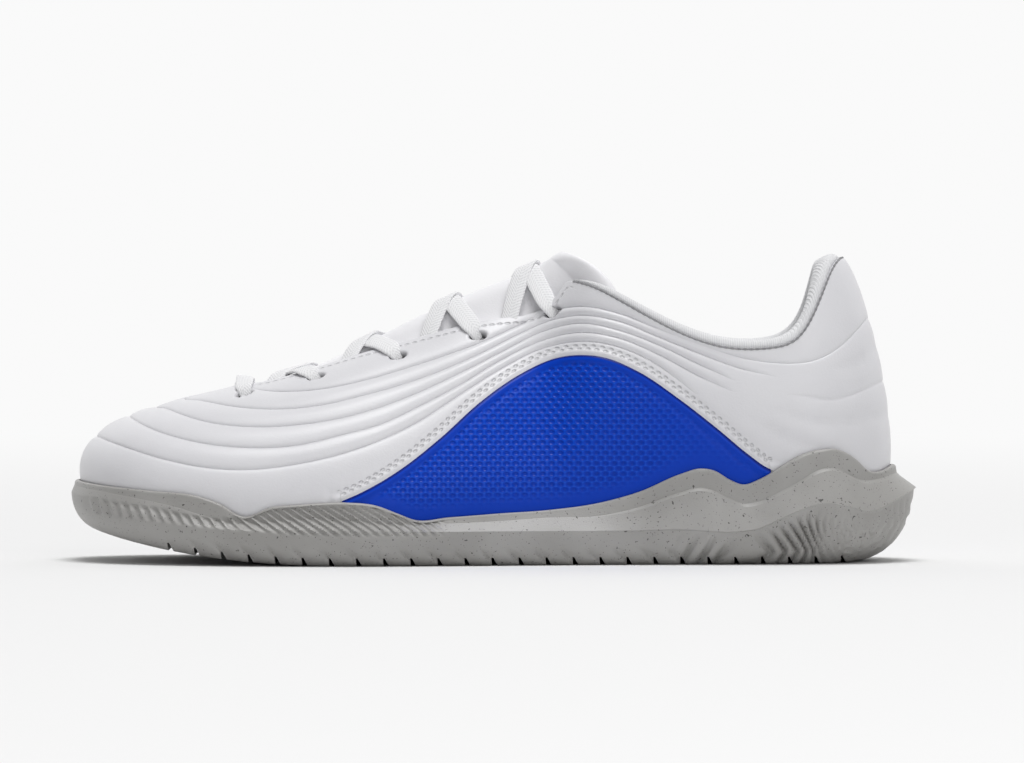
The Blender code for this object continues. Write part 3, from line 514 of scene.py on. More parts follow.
    def by_rim(self, p: Array, down: Array, inset: Array) -> Array:
        """Points near the top edge.

        Args:
            p: stations.
            down: distances down the wall, or above the edge, where negative, along its direction.
            inset: distances inside the wall's outer face.

        Returns:
            One point for each station.
        """
        p = np.atleast_1d(np.asarray(p, float))
        down = np.broadcast_to(down, p.shape)
        h = self.below_rim(p, np.clip(down, 0, None))
        above = np.clip(-down, 0, None)[:, None] * self.upward(p, h)
        return self.skin(p, h, np.broadcast_to(inset, p.shape)) + above

    def eyelet_station(self, side: int, share: float, inset: float) -> float:
        """Where an eyelet stands.

        Args:
            side: sign of the side.
            share: the eyelet's share of the length.
            inset: its distance down from the gap's edge.

        Returns:
            The station.
        """
        p = side * np.linspace(4.0, 13.0, 361)
        x = self.by_rim(p, inset, 0.0)[:, 0]
        return float(p[np.argmin(np.abs(x - self.length_at(share)))])

    def columns(self, half_count: int, crowding: float = 0.0, density: Array | None = None) -> Array:
        """Stations all round the shoe, evenly spaced along the wall at mid height.

        Formula: the spacing is the wall's length per station, closer by 1 + crowding times a bell
        round each eyelet and by the density, summed and read backwards.

        Args:
            half_count: stations on each side, less one.
            crowding: how much closer the stations are at the eyelets.
            density: rows of a station and how much closer the stations are there.

        Returns:
            The stations, from the heel round the outer side to the toe and back along the inner.
        """
        fine = np.linspace(0, HEEL_STATION, 2101)
        speed = np.linalg.norm(np.gradient(self.wall(fine, 0.45), fine, axis=0), axis=1)
        if crowding:
            for side in Side:
                for eyelet in self.eyelets:
                    station = abs(self.eyelet_station(side, *eyelet))
                    speed = speed * (1 + crowding * bell(fine, station, 0.3))
        if density is not None:
            speed = speed * through(density, 1, fine)
        run = np.concatenate([[0], np.cumsum((speed[1:] + speed[:-1]) / 2)])
        half = np.interp(np.linspace(0, run[-1], half_count + 1), run, fine)
        return np.concatenate([-half[:0:-1], half[:-1]])

    def from_panel(self, points: Array) -> tuple[Array, Array]:
        """Places near the side panel's outline, seen from the side.

        Formula: height above the outline over sqrt(1 + slope^2), or the distance past either of its
        ends where that is more, and the outline's length from its front end to the nearest point.

        Args:
            points: points on the wall.

        Returns:
            The distance outside the outline, and the run along it.
        """
        grid = np.linspace(self.length_at(PANEL_TOP[0, 0]), self.length_at(PANEL_TOP[-1, 0]), 600)
        slopes = np.gradient(self.panel_height(grid), grid)
        run = run_along(np.stack([grid, self.panel_height(grid)], -1))
        x, z = points[..., 0], points[..., 2]
        slope = np.interp(x, grid, slopes)
        rise = (z - self.panel_height(x)) / (1 + slope ** 2)
        near = x + rise * slope
        past = np.maximum(grid[0] - x, x - grid[-1])
        return np.maximum(rise * np.sqrt(1 + slope ** 2), past), np.interp(near, grid, run)


def mesh_object(name: str, points: Array, faces: Array, layers: dict[str, Array] | None = None,
                uv: Array | None = None, flip: bool = False, outward: bool = False) -> bpy.types.Object:
    """A smooth mesh object from points and quads.

    Args:
        name: name of the piece.
        points: its points.
        faces: indices, four to a face.
        layers: named values, one for each point.
        uv: two values for each point.
        flip: turns the faces round.
        outward: turns every face outwards, on a closed shape.

    Returns:
        The object, linked to the scene, with doubled points merged.
    """
    mesh = bpy.data.meshes.new(name)
    mesh.from_pydata(points.tolist(), [], (faces[:, ::-1] if flip else faces).tolist())
    for key, values in (layers or {}).items():
        layer = mesh.attributes.new(key, "FLOAT", "POINT")
        layer.data.foreach_set("value", np.ascontiguousarray(values, dtype=np.float32).ravel())
    if uv is not None:
        corners = np.empty(len(mesh.loops), dtype=np.int32)
        mesh.loops.foreach_get("vertex_index", corners)
        mesh.uv_layers.new(name="surface").data.foreach_set("uv", uv[corners].astype(np.float32).ravel())
    shape = bmesh.new()
    shape.from_mesh(mesh)
    bmesh.ops.remove_doubles(shape, verts=shape.verts, dist=1e-5)
    if outward:
        bmesh.ops.recalc_face_normals(shape, faces=shape.faces)
    shape.to_mesh(mesh)
    shape.free()
    mesh.shade_smooth()
    obj = bpy.data.objects.new(name, mesh)
    bpy.context.scene.collection.objects.link(obj)
    return obj


def grid_faces(rows: int, across: int, around: bool = False) -> Array:
    """Quads of a grid of points.

    Args:
        rows: number of rows.
        across: points in each row.
        around: joins the last point of each row to its first.

    Returns:
        Indices, four to a face.
    """
    r = np.arange(rows - 1)[:, None] * across
    c = np.arange(across if around else across - 1)[None, :]
    side = (c + 1) % across
    return np.stack([r + c, r + side, r + across + side, r + across + c], -1).reshape(-1, 4)


def closed_tube(rows: int, count: int) -> Array:
    """Quads of rings of points, closed at both ends.

    Formula: the grid's quads, then a ladder over each end ring, whose rungs join its point c to
    its point count - c.

    Args:
        rows: number of rings.
        count: points in each ring.

    Returns:
        Indices, four to a face.
    """
    c = np.arange(count // 2)
    ladder = np.stack([c, c + 1, count - c - 1, (count - c) % count], -1)
    return np.concatenate([grid_faces(rows, count, around=True), ladder, ladder + (rows - 1) * count])


def grid_object(name: str, points: Array, around: bool = False, layers: dict[str, Array] | None = None,
                flip: bool = False, outward: bool = False) -> bpy.types.Object:
    """A smooth mesh object from a grid of points.

    Args:
        name: name of the piece.
        points: rows by points across.
        around: joins the last point of each row to its first.
        layers: named values, one for each point.
        flip: turns the faces round.
        outward: turns every face outwards, on a closed shape.

    Returns:
        The object.
    """
    rows, across = points.shape[:2]
    flat_layers = {key: np.broadcast_to(values, (rows, across)).ravel()
                   for key, values in (layers or {}).items()}
    return mesh_object(name, points.reshape(-1, 3), grid_faces(rows, across, around), flat_layers,
                       flip=flip, outward=outward)


def tube(path: Array, up: Array, section: Array) -> Array:
    """A section carried along a path.

    Formula: each section point is path + across * section[0] + over * section[1], where across is
    the path's direction crossed with up, and over is across crossed with that direction.

    Args:
        path: points of the path.
        up: direction that the section's second axis leans to, at each point.
        section: section points, or one set for each path point.

    Returns:
        One row of points for each path point.
    """
    along = unit(np.gradient(path, axis=0))
    across = unit(np.cross(along, up))
    over = np.cross(across, along)
    section = np.broadcast_to(section, (len(path), *section.shape[-2:]))
    return path[:, None] + across[:, None] * section[..., :1] + over[:, None] * section[..., 1:]


# Materials


class Wire:
    """A socket in a material's nodes, with arithmetic that adds one Math node for each step."""

    def __init__(self, shader: "Shader", socket: bpy.types.NodeSocket) -> None:
        """Keeps the shader and its socket."""
        self.shader = shader
        self.socket = socket

    def math(self, operation: str, *values: "Wire | float") -> "Wire":
        """The result of one Math node on these values."""
        return self.shader.add("ShaderNodeMath", {"operation": operation}, dict(enumerate(values)))

    def __add__(self, other: "Wire | float") -> "Wire":
        """This value plus another."""
        return self.math("ADD", self, other)

    __radd__ = __add__

    def __sub__(self, other: "Wire | float") -> "Wire":
        """This value less another."""
        return self.math("SUBTRACT", self, other)

    def __rsub__(self, other: float) -> "Wire":
        """A number less this value."""
        return self.math("SUBTRACT", other, self)

    def __mul__(self, other: "Wire | float") -> "Wire":
        """This value times another."""
        return self.math("MULTIPLY", self, other)

    __rmul__ = __mul__

    def __truediv__(self, other: "Wire | float") -> "Wire":
        """This value over another."""
        return self.math("DIVIDE", self, other)

    def __pow__(self, power: float) -> "Wire":
        """This value to a power."""
        return self.math("POWER", self, power)

    def sine(self) -> "Wire":
        """The sine of this value."""
        return self.math("SINE", self)

    def size(self) -> "Wire":
        """This value without its sign."""
        return self.math("ABSOLUTE", self)

    def floor(self) -> "Wire":
        """The whole number below this value."""
        return self.math("FLOOR", self)

    def most(self, other: "Wire | float") -> "Wire":
        """The larger of two values."""
        return self.math("MAXIMUM", self, other)

    def fold(self) -> "Wire":
        """The distance from the nearest whole number, 0 to 0.5."""
        return (self - (self + 0.5).floor()).size()

    def step(self, low: float, high: float) -> "Wire":
        """A smooth step from 0 at low to 1 at high."""
        return self.shader.add("ShaderNodeMapRange", {"interpolation_type": "SMOOTHSTEP"},
                               {"Value": self, "From Min": low, "From Max": high})


class Shader:
    """The nodes of one material, built from values."""

    def __init__(self, name: str, roughness: float, **constants: float) -> None:
        """Makes the material.

        Args:
            name: its name.
            roughness: its roughness.
            constants: fixed values of other sockets, named as the sockets are.
        """
        self.material = bpy.data.materials.new(name)
        self.material.use_nodes = True
        self.tree = self.material.node_tree
        self.principled = self.tree.nodes["Principled BSDF"]
        self.principled.inputs["Roughness"].default_value = roughness
        for key, value in constants.items():
            socket = key.replace("_", " ").title().replace("Ior", "IOR")
            self.principled.inputs[socket].default_value = value

    def add(self, kind: str, settings: dict, inputs: dict, output: str | int = 0) -> Wire:
        """One node of any type.

        Args:
            kind: the node's type.
            settings: its properties, set before its sockets.
            inputs: values or wires for its sockets, by name or number.
            output: the socket to read.

        Returns:
            That output.
        """
        node = self.tree.nodes.new(kind)
        for key, value in settings.items():
            setattr(node, key, value)
        for key, value in inputs.items():
            if isinstance(value, Wire):
                self.tree.links.new(value.socket, node.inputs[key])
            else:
                node.inputs[key].default_value = value
        return Wire(self, node.outputs[output])

    def position(self) -> tuple[Wire, Wire, Wire]:
        """Object coordinates x, y and z."""
        place = self.object_vector()
        return tuple(self.add("ShaderNodeSeparateXYZ", {}, {0: place}, axis) for axis in "XYZ")

    def object_vector(self) -> Wire:
        """Object coordinates as one vector."""
        return self.add("ShaderNodeTexCoord", {}, {}, "Object")

    def surface(self) -> tuple[Wire, Wire]:
        """The piece's own UV coordinates, in metres."""
        place = self.add("ShaderNodeUVMap", {"uv_map": "surface"}, {})
        return tuple(self.add("ShaderNodeSeparateXYZ", {}, {0: place}, axis) for axis in "XY")

    def layer(self, name: str) -> Wire:
        """A named value that the mesh carries."""
        return self.add("ShaderNodeAttribute", {"attribute_name": name}, {}, "Fac")

    def noise(self, scale: float, detail: float) -> Wire:
        """Noise on Object coordinates, scale to the metre."""
        place = self.object_vector()
        return self.add("ShaderNodeTexNoise", {}, {"Vector": place, "Scale": scale, "Detail": detail})

    def mix(self, factor: Wire, first: "Wire | Colour", second: "Wire | Colour") -> Wire:
        """Two colours mixed.

        Args:
            factor: 0 for the first, 1 for the second.
            first: a colour.
            second: another.

        Returns:
            The mixed colour.
        """
        inputs = {0: factor}
        for key, colour in ((6, first), (7, second)):
            inputs[key] = colour if isinstance(colour, Wire) else (*colour, 1.0)
        return self.add("ShaderNodeMix", {"data_type": "RGBA"}, inputs, 2)

    def feed(self, socket: str, value: Wire) -> None:
        """Links a value to one socket of the shader."""
        self.tree.links.new(value.socket, self.principled.inputs[socket])

    def colour(self, value: Wire) -> None:
        """Links the base colour."""
        self.feed("Base Color", value)

    def relief(self, height: Wire, depth: float) -> None:
        """Bumps the normal by a height of 0 to 1 that stands for depth metres."""
        self.feed("Normal", self.add("ShaderNodeBump", {}, {"Height": height, "Distance": depth}, "Normal"))


@dataclass(frozen=True)
class Rubber:
    """Light grey rubber with dark specks of every size and a chalky bloom."""

    grey: Colour = (0.335, 0.328, 0.316)
    bloom: Colour = (0.383, 0.376, 0.365)
    speck: Colour = (0.055, 0.053, 0.050)
    roughness: float = 0.43

    def make(self) -> bpy.types.Material:
        """Builds the material.

        Returns:
            The material.
        """
        shader = Shader("speckled_rubber", self.roughness, specular_ior_level=0.5)
        cloud = shader.noise(38.0, 3.0).step(0.35, 0.7)
        body = shader.mix(cloud, self.grey, self.bloom)
        fine = shader.noise(1500.0, 1.0).step(0.69, 0.74)
        coarse = shader.noise(640.0, 2.5).step(0.695, 0.73)
        specks = fine.most(coarse)
        shader.colour(shader.mix(specks * 0.85, body, self.speck))
        grain = shader.noise(2200.0, 2.0) * 0.6 - coarse * 0.5
        shader.relief(grain, 0.00012)
        return shader.material


@dataclass(frozen=True)
class WhiteLeather:
    """Smooth coated leather: the sewn edge of the side panel, the eyestay's seam, punched eyelets. The
    eyelets' recesses are painted near-black and the stitch pits a darker grey, both as painted shade.
    """

    white: Colour = (0.735, 0.732, 0.757)
    shade: Colour = (0.700, 0.697, 0.724)
    # painted shade: the stitch pits are mixed halfway to this darker grey, for the shade in the hollows
    thread: Colour = (0.58, 0.58, 0.60)
    # painted shade: near-black colour of the eyelets' recesses, standing in for the shade inside the punched
    # holes
    dark: Colour = (0.035, 0.035, 0.04)
    roughness: float = 0.38
    stitch_rows: tuple[float, float] = (0.0019, 0.0031)
    stitch_pitch: float = 0.0029
    stitch_size: float = 0.00058
    seam_down: float = 0.0026
    seam_pitch: float = 0.0028

    def make(self, name: str, sewn: bool) -> bpy.types.Material:
        """Builds the material.

        Args:
            name: its name.
            sewn: whether the mesh carries the layers of the seams.

        Returns:
            The material.
        """
        shader = Shader(name, self.roughness, specular_ior_level=0.5, coat_weight=0.12, coat_roughness=0.3)
        cloud = shader.noise(24.0, 4.0).step(0.3, 0.75)
        body = shader.mix(cloud, self.white, self.shade)
        height = shader.noise(1500.0, 3.0) * 0.35
        if sewn:
            pits = self.pits(shader)
            hole = shader.layer("hole")
            # painted shade in the stitch pits: half of the darker thread grey
            body = shader.mix(pits * 0.5, body, self.thread)
            # painted shade: the eyelets' recesses are coloured near-black
            body = shader.mix(hole, body, self.dark)
            height = height - pits * 3.0
        shader.colour(body)
        shader.relief(height, 0.00016)
        return shader.material

    def pits(self, shader: Shader) -> Wire:
        """Stitch pits: two staggered rows round the side panel and one along the lacing gap.

        Args:
            shader: the leather's nodes.

        Returns:
            1 in each pit and 0 between them.
        """
        out, run = shader.layer("panel_out"), shader.layer("panel_run")
        first, second = (
            self.pit((run / self.stitch_pitch + shift).fold() * self.stitch_pitch, out - row, 0.66)
            for row, shift in zip(self.stitch_rows, (0.0, 0.5)))
        down, reach = shader.layer("rim_down"), shader.layer("rim_run")
        seam = self.pit((reach / self.seam_pitch).fold() * self.seam_pitch, down - self.seam_down, 0.55)
        return first.most(second).most(seam * shader.layer("eyestay"))

    def pit(self, along: Wire, across: Wire, squeeze: float) -> Wire:
        """One pit: 1 within an oval of the stitch's size that is squeezed along its row."""
        reach = ((along * squeeze) ** 2 + across.size() ** 2) ** 0.5
        return 1 - reach.step(self.stitch_size * 0.30, self.stitch_size * 1.25)


@dataclass(frozen=True)
class PanelFilm:
    """Deep blue film with staggered rows of moulded dimples: painted shade in the dimples, a painted
    highlight on the flats between them and a painted shadow line along its edge.
    """

    blue: Colour = (0.0020, 0.048, 0.505)
    # painted highlight: lighter blue for the flats between the dimples
    light: Colour = (0.014, 0.130, 0.740)
    # painted shade: dark navy for the hollows of the dimples and the shadow line along the panel's edge
    painted_shade_navy: Colour = (0.0015, 0.014, 0.200)
    roughness: float = 0.34
    pitch: tuple[float, float] = (0.0031, 0.0018)

    def make(self) -> bpy.types.Material:
        """Builds the material.

        Returns:
            The material.
        """
        shader = Shader("panel_film", self.roughness, specular_ior_level=0.12)
        x, _, z = shader.position()
        row = z / self.pitch[1]
        shift = row.floor() * 0.5
        along = (x / self.pitch[0] + shift).fold() * 2
        across = (row - row.floor() - 0.5).size() * 2
        reach = (along ** 2 + (across * 0.85) ** 2) ** 0.5
        dimple = 1 - reach.step(0.25, 0.85)
        inside = 0 - shader.layer("panel_out")
        dimpled = inside.step(0.0024, 0.0036) * shader.layer("dimpled")
        # painted shade: the dimples darker towards their middles
        base = shader.mix(dimple * dimpled * 0.3, self.blue, self.painted_shade_navy)
        # painted highlight: the flats between the dimples are lighter
        base = shader.mix(reach.step(0.8, 1.15) * dimpled * 0.35, base, self.light)
        # painted shadow: a navy line along the panel's edge, where the white leather overlaps the film
        shader.colour(shader.mix(1 - inside.step(0.0006, 0.0013), base, self.painted_shade_navy))
        shader.relief(0 - dimple * dimpled, 0.00030)
        return shader.material


@dataclass(frozen=True)
class Knit:
    """Soft knit cloth of the collar, its ribs across the roll, painted darker in its low parts as shade."""

    pale: Colour = (0.86, 0.862, 0.875)
    # painted shade: colour of the knit's low parts between the ribs
    deep: Colour = (0.72, 0.722, 0.740)
    roughness: float = 0.88
    rib: float = 0.0008
    course: float = 0.0008

    def make(self) -> bpy.types.Material:
        """Builds the material.

        Returns:
            The material.
        """
        shader = Shader("collar_knit", self.roughness, sheen_weight=0.25, specular_ior_level=0.2)
        u, v = shader.surface()
        wale = (u * (2 * pi / self.rib)).sine() * 0.5 + 0.5
        course = (v * (2 * pi / self.course) + (u * (pi / self.rib)).sine() * 1.2).sine() * 0.5 + 0.5
        height = wale * 0.55 + course * 0.45
        # painted shade: darker where the knit's relief is low
        shader.colour(shader.mix(height.step(0.1, 0.75), self.deep, self.pale))
        shader.relief(height, 0.00012)
        return shader.material


@dataclass(frozen=True)
class Cloth:
    """Plain woven cloth, for the insole, the lining and the seam's thread, painted darker in the weave's low
    parts as shade.
    """

    pale: Colour
    # painted shade: colour of the weave's low parts
    deep: Colour
    pitch: float = 0.0009
    roughness: float = 0.9

    def make(self, name: str) -> bpy.types.Material:
        """Builds the material.

        Args:
            name: its name.

        Returns:
            The material.
        """
        shader = Shader(name, self.roughness, sheen_weight=0.2, specular_ior_level=0.2)
        x, y, z = shader.position()
        turn = 2 * pi / self.pitch
        warp = ((x + z * 0.6) * turn).sine()
        weft = ((y + z * 0.8) * turn).sine()
        height = warp * weft * 0.5 + 0.5
        patch = shader.noise(60.0, 3.0).step(0.3, 0.7) * 0.3
        # painted shade where the weave's relief is low; the patches are the cloth's own uneven tone
        shader.colour(shader.mix(height * 0.6 + patch, self.deep, self.pale))
        shader.relief(height, 0.00015)
        return shader.material


@dataclass(frozen=True)
class LaceWeave:
    """Flat woven lace: two chevrons of yarn that meet on the centre line, painted darker in their low parts
    as shade.
    """

    pale: Colour = (0.86, 0.86, 0.872)
    # painted shade: colour of the weave's low parts between the yarns
    deep: Colour = (0.74, 0.74, 0.755)
    roughness: float = 0.8
    yarn: float = 0.0012

    def make(self) -> bpy.types.Material:
        """Builds the material.

        Returns:
            The material.
        """
        shader = Shader("lace_weave", self.roughness, sheen_weight=0.15, specular_ior_level=0.25)
        u, v = shader.surface()
        chevron = ((u + v.size() * 0.9) * (2 * pi / self.yarn)).sine() * 0.5 + 0.5
        ribs = (v * (2 * pi / 0.0010)).sine() * 0.5 + 0.5
        height = chevron * 0.7 + ribs * 0.3
        # painted shade: darker where the lace's relief is low
        shader.colour(shader.mix(height.step(0.05, 0.6), self.deep, self.pale))
        shader.relief(height, 0.00011)
        return shader.material


# Pieces


def ready(obj: bpy.types.Object, material: bpy.types.Material,
          nodes: tuple[str, ...] = ()) -> None:
    """Gives a piece its material, its body and the CAD nodes that it stands for.

    Args:
        obj: the piece.
        material: its material.
        nodes: the CAD nodes that it replaces.
    """
    obj.data.materials.clear()
    obj.data.materials.append(material)
    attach(obj, "root")
    if nodes:
        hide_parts(*nodes)
    LOG.info("%s: %d faces, for %s", obj.name, len(obj.data.polygons), ", ".join(nodes) or "no node")


@dataclass
class Upper:
    """The moulded leather shell with its grooves, recesses, seams and eyelets."""

    last: Last
    half_columns: int = 285
    band_rows: tuple[int, ...] = (20, 26, 14, 14, 14, 14, 44)
    crowding: float = 0.13
    rim_rows: int = 6
    inner_depth: float = 0.007
    groove_depth: float = 0.00105
    groove_width: float = 0.0011
    crease: float = 0.00035
    toe_groove_depth: float = 0.00115
    heel_groove_depth: float = 0.0007
    groove_fade: float = 0.045
    recess: float = 0.0012
    recess_edge: tuple[float, float] = (0.0002, 0.0013)
    bead: float = 0.00035
    bead_place: tuple[float, float] = (0.0011, 0.0009)
    furrow_place: tuple[float, float] = (0.0028, 0.0013)
    plain_rim: float = 0.0035
    seam_stations: tuple[float, float, float, float] = (5.6, 6.2, 11.6, 12.2)
    eyelet_size: tuple[float, float] = (0.0032, 0.0021)
    eyelet_depth: float = 0.0021
    tucked: float = 0.0035
    obj: bpy.types.Object = field(init=False)

    def groove_relief(self, points: Array, normals: Array) -> Array:
        """Depth of the moulded grooves.

        Formula: a groove is the line z = G(x) on the wall. The distance from it is z - G(x) over
        the size of that function's gradient along the surface. The relief is the deepest of
        -depth * (0.4 exp(-distance / crease) + 0.6 exp(-distance / width)), which leaves a sharp
        crease between soft bands.

        Args:
            points: points of the outer face.
            normals: their outward normals.

        Returns:
            The relief at each point, zero or negative.
        """
        share = self.last.share_at(points[..., 0])
        relief = np.zeros(share.shape)
        front = [(table, index < len(LONG_GROOVES) - 1, index == len(LONG_GROOVES) - 1)
                 for index, table in enumerate(LONG_GROOVES)]
        heel = [(table, False, index < 3) for index, table in enumerate(HEEL_GROOVES)]
        for table, from_toe, to_heel in [*front, *heel]:
            height = self.last.heel_height * through(table, 1, share)
            ahead = self.last.heel_height * through(table, 1, share + 0.002)
            slope = (ahead - height) / (0.002 * self.last.length)
            gradient = np.stack([-slope, np.zeros_like(slope), np.ones_like(slope)], -1)
            through_skin = np.sum(gradient * normals, -1)
            size = np.sqrt(np.clip(1 + slope ** 2 - through_skin ** 2, 0.05, None))
            distance = np.abs(points[..., 2] - height) / size
            fade = 1.0
            if not from_toe:
                fade = fade * ramp(share, table[0, 0] - 0.01, table[0, 0] + self.groove_fade)
            if not to_heel:
                fade = fade * (1 - ramp(share, table[-1, 0] - self.groove_fade, table[-1, 0] + 0.01))
            behind_toe, at_heel = ramp(share, 0.3, 0.5), ramp(share, 0.72, 0.82)
            deep = self.toe_groove_depth + (self.groove_depth - self.toe_groove_depth) * behind_toe
            deep = deep + (self.heel_groove_depth - self.groove_depth) * at_heel
            wide = self.groove_width * (2.4 - 1.4 * behind_toe + 1.6 * ramp(share, 0.72, 0.85))
            shape = 0.4 * np.exp(-distance / self.crease) + 0.6 * np.exp(-distance / wide)
            relief = np.minimum(relief, -deep * fade * shape)
        return relief

    def eyelet_relief(self, points: Array) -> Array:
        """Share of the eyelets' depth.

        Formula: 1 inside each oval of the wall and 0 outside it, with a smooth step between.

        Args:
            points: points of the outer face.

        Returns:
            The share at each point.
        """
        hole = np.zeros(points.shape[:-1])
        for side in Side:
            for share, inset in self.last.eyelets:
                p = self.last.eyelet_station(side, share, inset)
                h = self.last.below_rim(p, inset)
                centre, normal = self.last.wall(p, h)[0], self.last.normal(np.array([p]), h)[0]
                along = unit(np.array((1.0, 0.0, 0.0)) - normal * normal[0])
                across = np.cross(normal, along)
                offset = points - centre
                reach = np.hypot(offset @ along / self.eyelet_size[0], offset @ across / self.eyelet_size[1])
                near = np.linalg.norm(offset, axis=-1) < 3 * self.eyelet_size[0]
                hole = np.maximum(hole, np.where(near, 1 - ramp(reach, 0.72, 1.12), 0))
        return hole

    def row_heights(self, p: Array, low: Array, top: Array) -> Array:
        """Curve parameters of the rows, which follow the panel's outline and the long grooves.

        Formula: the wall is divided where it crosses each line. Between two lines the rows stand at
        t - crowding * sin(2 pi t), so that they crowd towards the lines.

        Args:
            p: stations.
            low, top: curve parameters of the two ends at each station.

        Returns:
            One row of curve parameters for each row of points.
        """
        last = self.last
        crossings = [last.height_on_wall(p, last.panel_height)]
        for groove in LONG_GROOVES:
            crossings.append(last.height_on_wall(p, lambda x, line=groove: last.groove_height(line, x)))
        marks = np.array([low, *(np.clip(crossing, low, top) for crossing in crossings), top])
        marks = np.maximum.accumulate(marks, axis=0)
        bands = []
        for start, end, count in zip(marks[:-1], marks[1:], self.band_rows):
            t = np.arange(count)[:, None] / count
            bands.append(start + (end - start) * (t - self.crowding * np.sin(2 * pi * t)))
        return np.concatenate([*bands, top[None]])

    def rows_over_edge(self, p: Array, top: Array, edge: Array, normal: Array) -> Array:
        """Rows over the top edge and down its inner side.

        Formula: half an ellipse as thick as the wall, then the wall inset by its thickness.

        Args:
            p: stations.
            top: the top edge's curve parameters.
            edge: its points on the plain wall.
            normal: the outward normals there.

        Returns:
            The rows, from the edge inwards.
        """
        last = self.last
        angles = np.linspace(0, pi, self.rim_rows + 2)[1:-1, None, None]
        thick = last.wall_thickness
        over = edge - normal * thick / 2 * (1 - np.cos(angles))
        over = over + last.upward(p, top) * thick * 0.35 * np.sin(angles)
        depths = np.linspace(0, self.inner_depth, 4)
        inner = [last.skin(p, last.below_rim(p, depth), thick) for depth in depths]
        return np.concatenate([over, inner])

    def build(self) -> "Upper":
        """Makes the outer face, its rounded top edge and the first part of its inner face.

        Formula: rows of the wall from inside the sole's cup to the rim, moved along their normals
        by the relief, then the rows over the edge. In the closed vamp those all fall on the ridge
        and merge.

        Returns:
            The upper.
        """
        last = self.last
        p = last.columns(self.half_columns, 0.9)
        low = last.height_on_wall(p, lambda x: last.edge_height(x) - self.tucked)
        top = last.rim(p)
        h = self.row_heights(p, low, top)
        grid = np.broadcast_to(p, h.shape)
        points, normals = last.wall(grid, h), last.normal(grid, h)
        closed = np.abs(points[-1, :, 1] - last.ball_width * last.value("ridge", p)) < 2e-5
        closed &= np.abs(p) < COLLAR_STATION
        mirrored = np.argmin(np.abs(p[:, None] + p[None, :]), axis=1)
        normals[-1] = np.where(closed[:, None], unit(normals[-1] + normals[-1][mirrored]), normals[-1])
        out, run = last.from_panel(points)
        relief = self.groove_relief(points, normals) * ramp(out, -0.0012, 0.004)
        relief -= self.recess * ramp(-out, *self.recess_edge)
        relief += self.bead * bell(out, *self.bead_place)
        relief -= 0.8 * self.bead * bell(out, *self.furrow_place)
        down = run_along(points.swapaxes(0, 1)[:, ::-1])[:, ::-1].T
        start, full, fading, end = self.seam_stations
        eyestay = ramp(np.abs(grid), start, full) * (1 - ramp(np.abs(grid), fading, end))
        hole = self.eyelet_relief(points)
        relief = relief * ramp(down, 0.0, self.plain_rim) - self.eyelet_depth * hole
        outer = points + relief[..., None] * normals

        rest = self.rows_over_edge(p, top, points[-1], normals[-1])
        rest = np.where(closed[None, :, None], outer[-1], rest)
        rows = np.concatenate([outer, rest])
        extra = np.zeros(rest.shape[:2])
        past = (run < 0.001) | (run > run.max() - 0.001)
        layers = {
            "panel_out": np.concatenate([out + 0.02 * past, extra + 1]),
            "panel_run": np.concatenate([run, extra]),
            # hole: share of the eyelets' depth, also the mask of the painted shade in the eyelets
            "rim_down": np.concatenate([down, extra]), "hole": np.concatenate([hole, extra]),
            "rim_run": np.concatenate([np.broadcast_to(run_along(points[-1]), h.shape), extra]),
            "eyestay": np.concatenate([eyestay, extra]),
        }
        self.obj = grid_object("upper_shell", rows, around=True, layers=layers, flip=True)
        return self

    def lining(self) -> bpy.types.Object:
        """The inner face, from under the rim to the insole.

        Formula: the wall inset by its thickness, and no further across than the ridge in front.

        Returns:
            The face.
        """
        last = self.last
        p = last.columns(110)
        top = last.below_rim(p, self.inner_depth - 0.0005)
        h = last.spread(p, np.zeros(len(p)), top, np.linspace(0, 1, 26))
        grid = np.broadcast_to(p, h.shape)
        points = last.skin(grid, h, last.wall_thickness + 0.00015)
        ridge = last.ball_width * last.value("ridge", grid)
        past = (np.sign(grid) * (points[..., 1] - ridge) < 0) & (np.abs(grid) < 6)
        points[..., 1] = np.where(past, ridge, points[..., 1])
        return grid_object("upper_lining", points, around=True)

    def dress(self) -> None:
        """Gives the shell its leather and the inner face its cloth."""
        ready(self.obj, WhiteLeather().make("white_leather", True), ("upper",))
        cloth = Cloth((0.55, 0.55, 0.58), (0.30, 0.30, 0.33)).make("lining_cloth")
        ready(self.lining(), cloth)


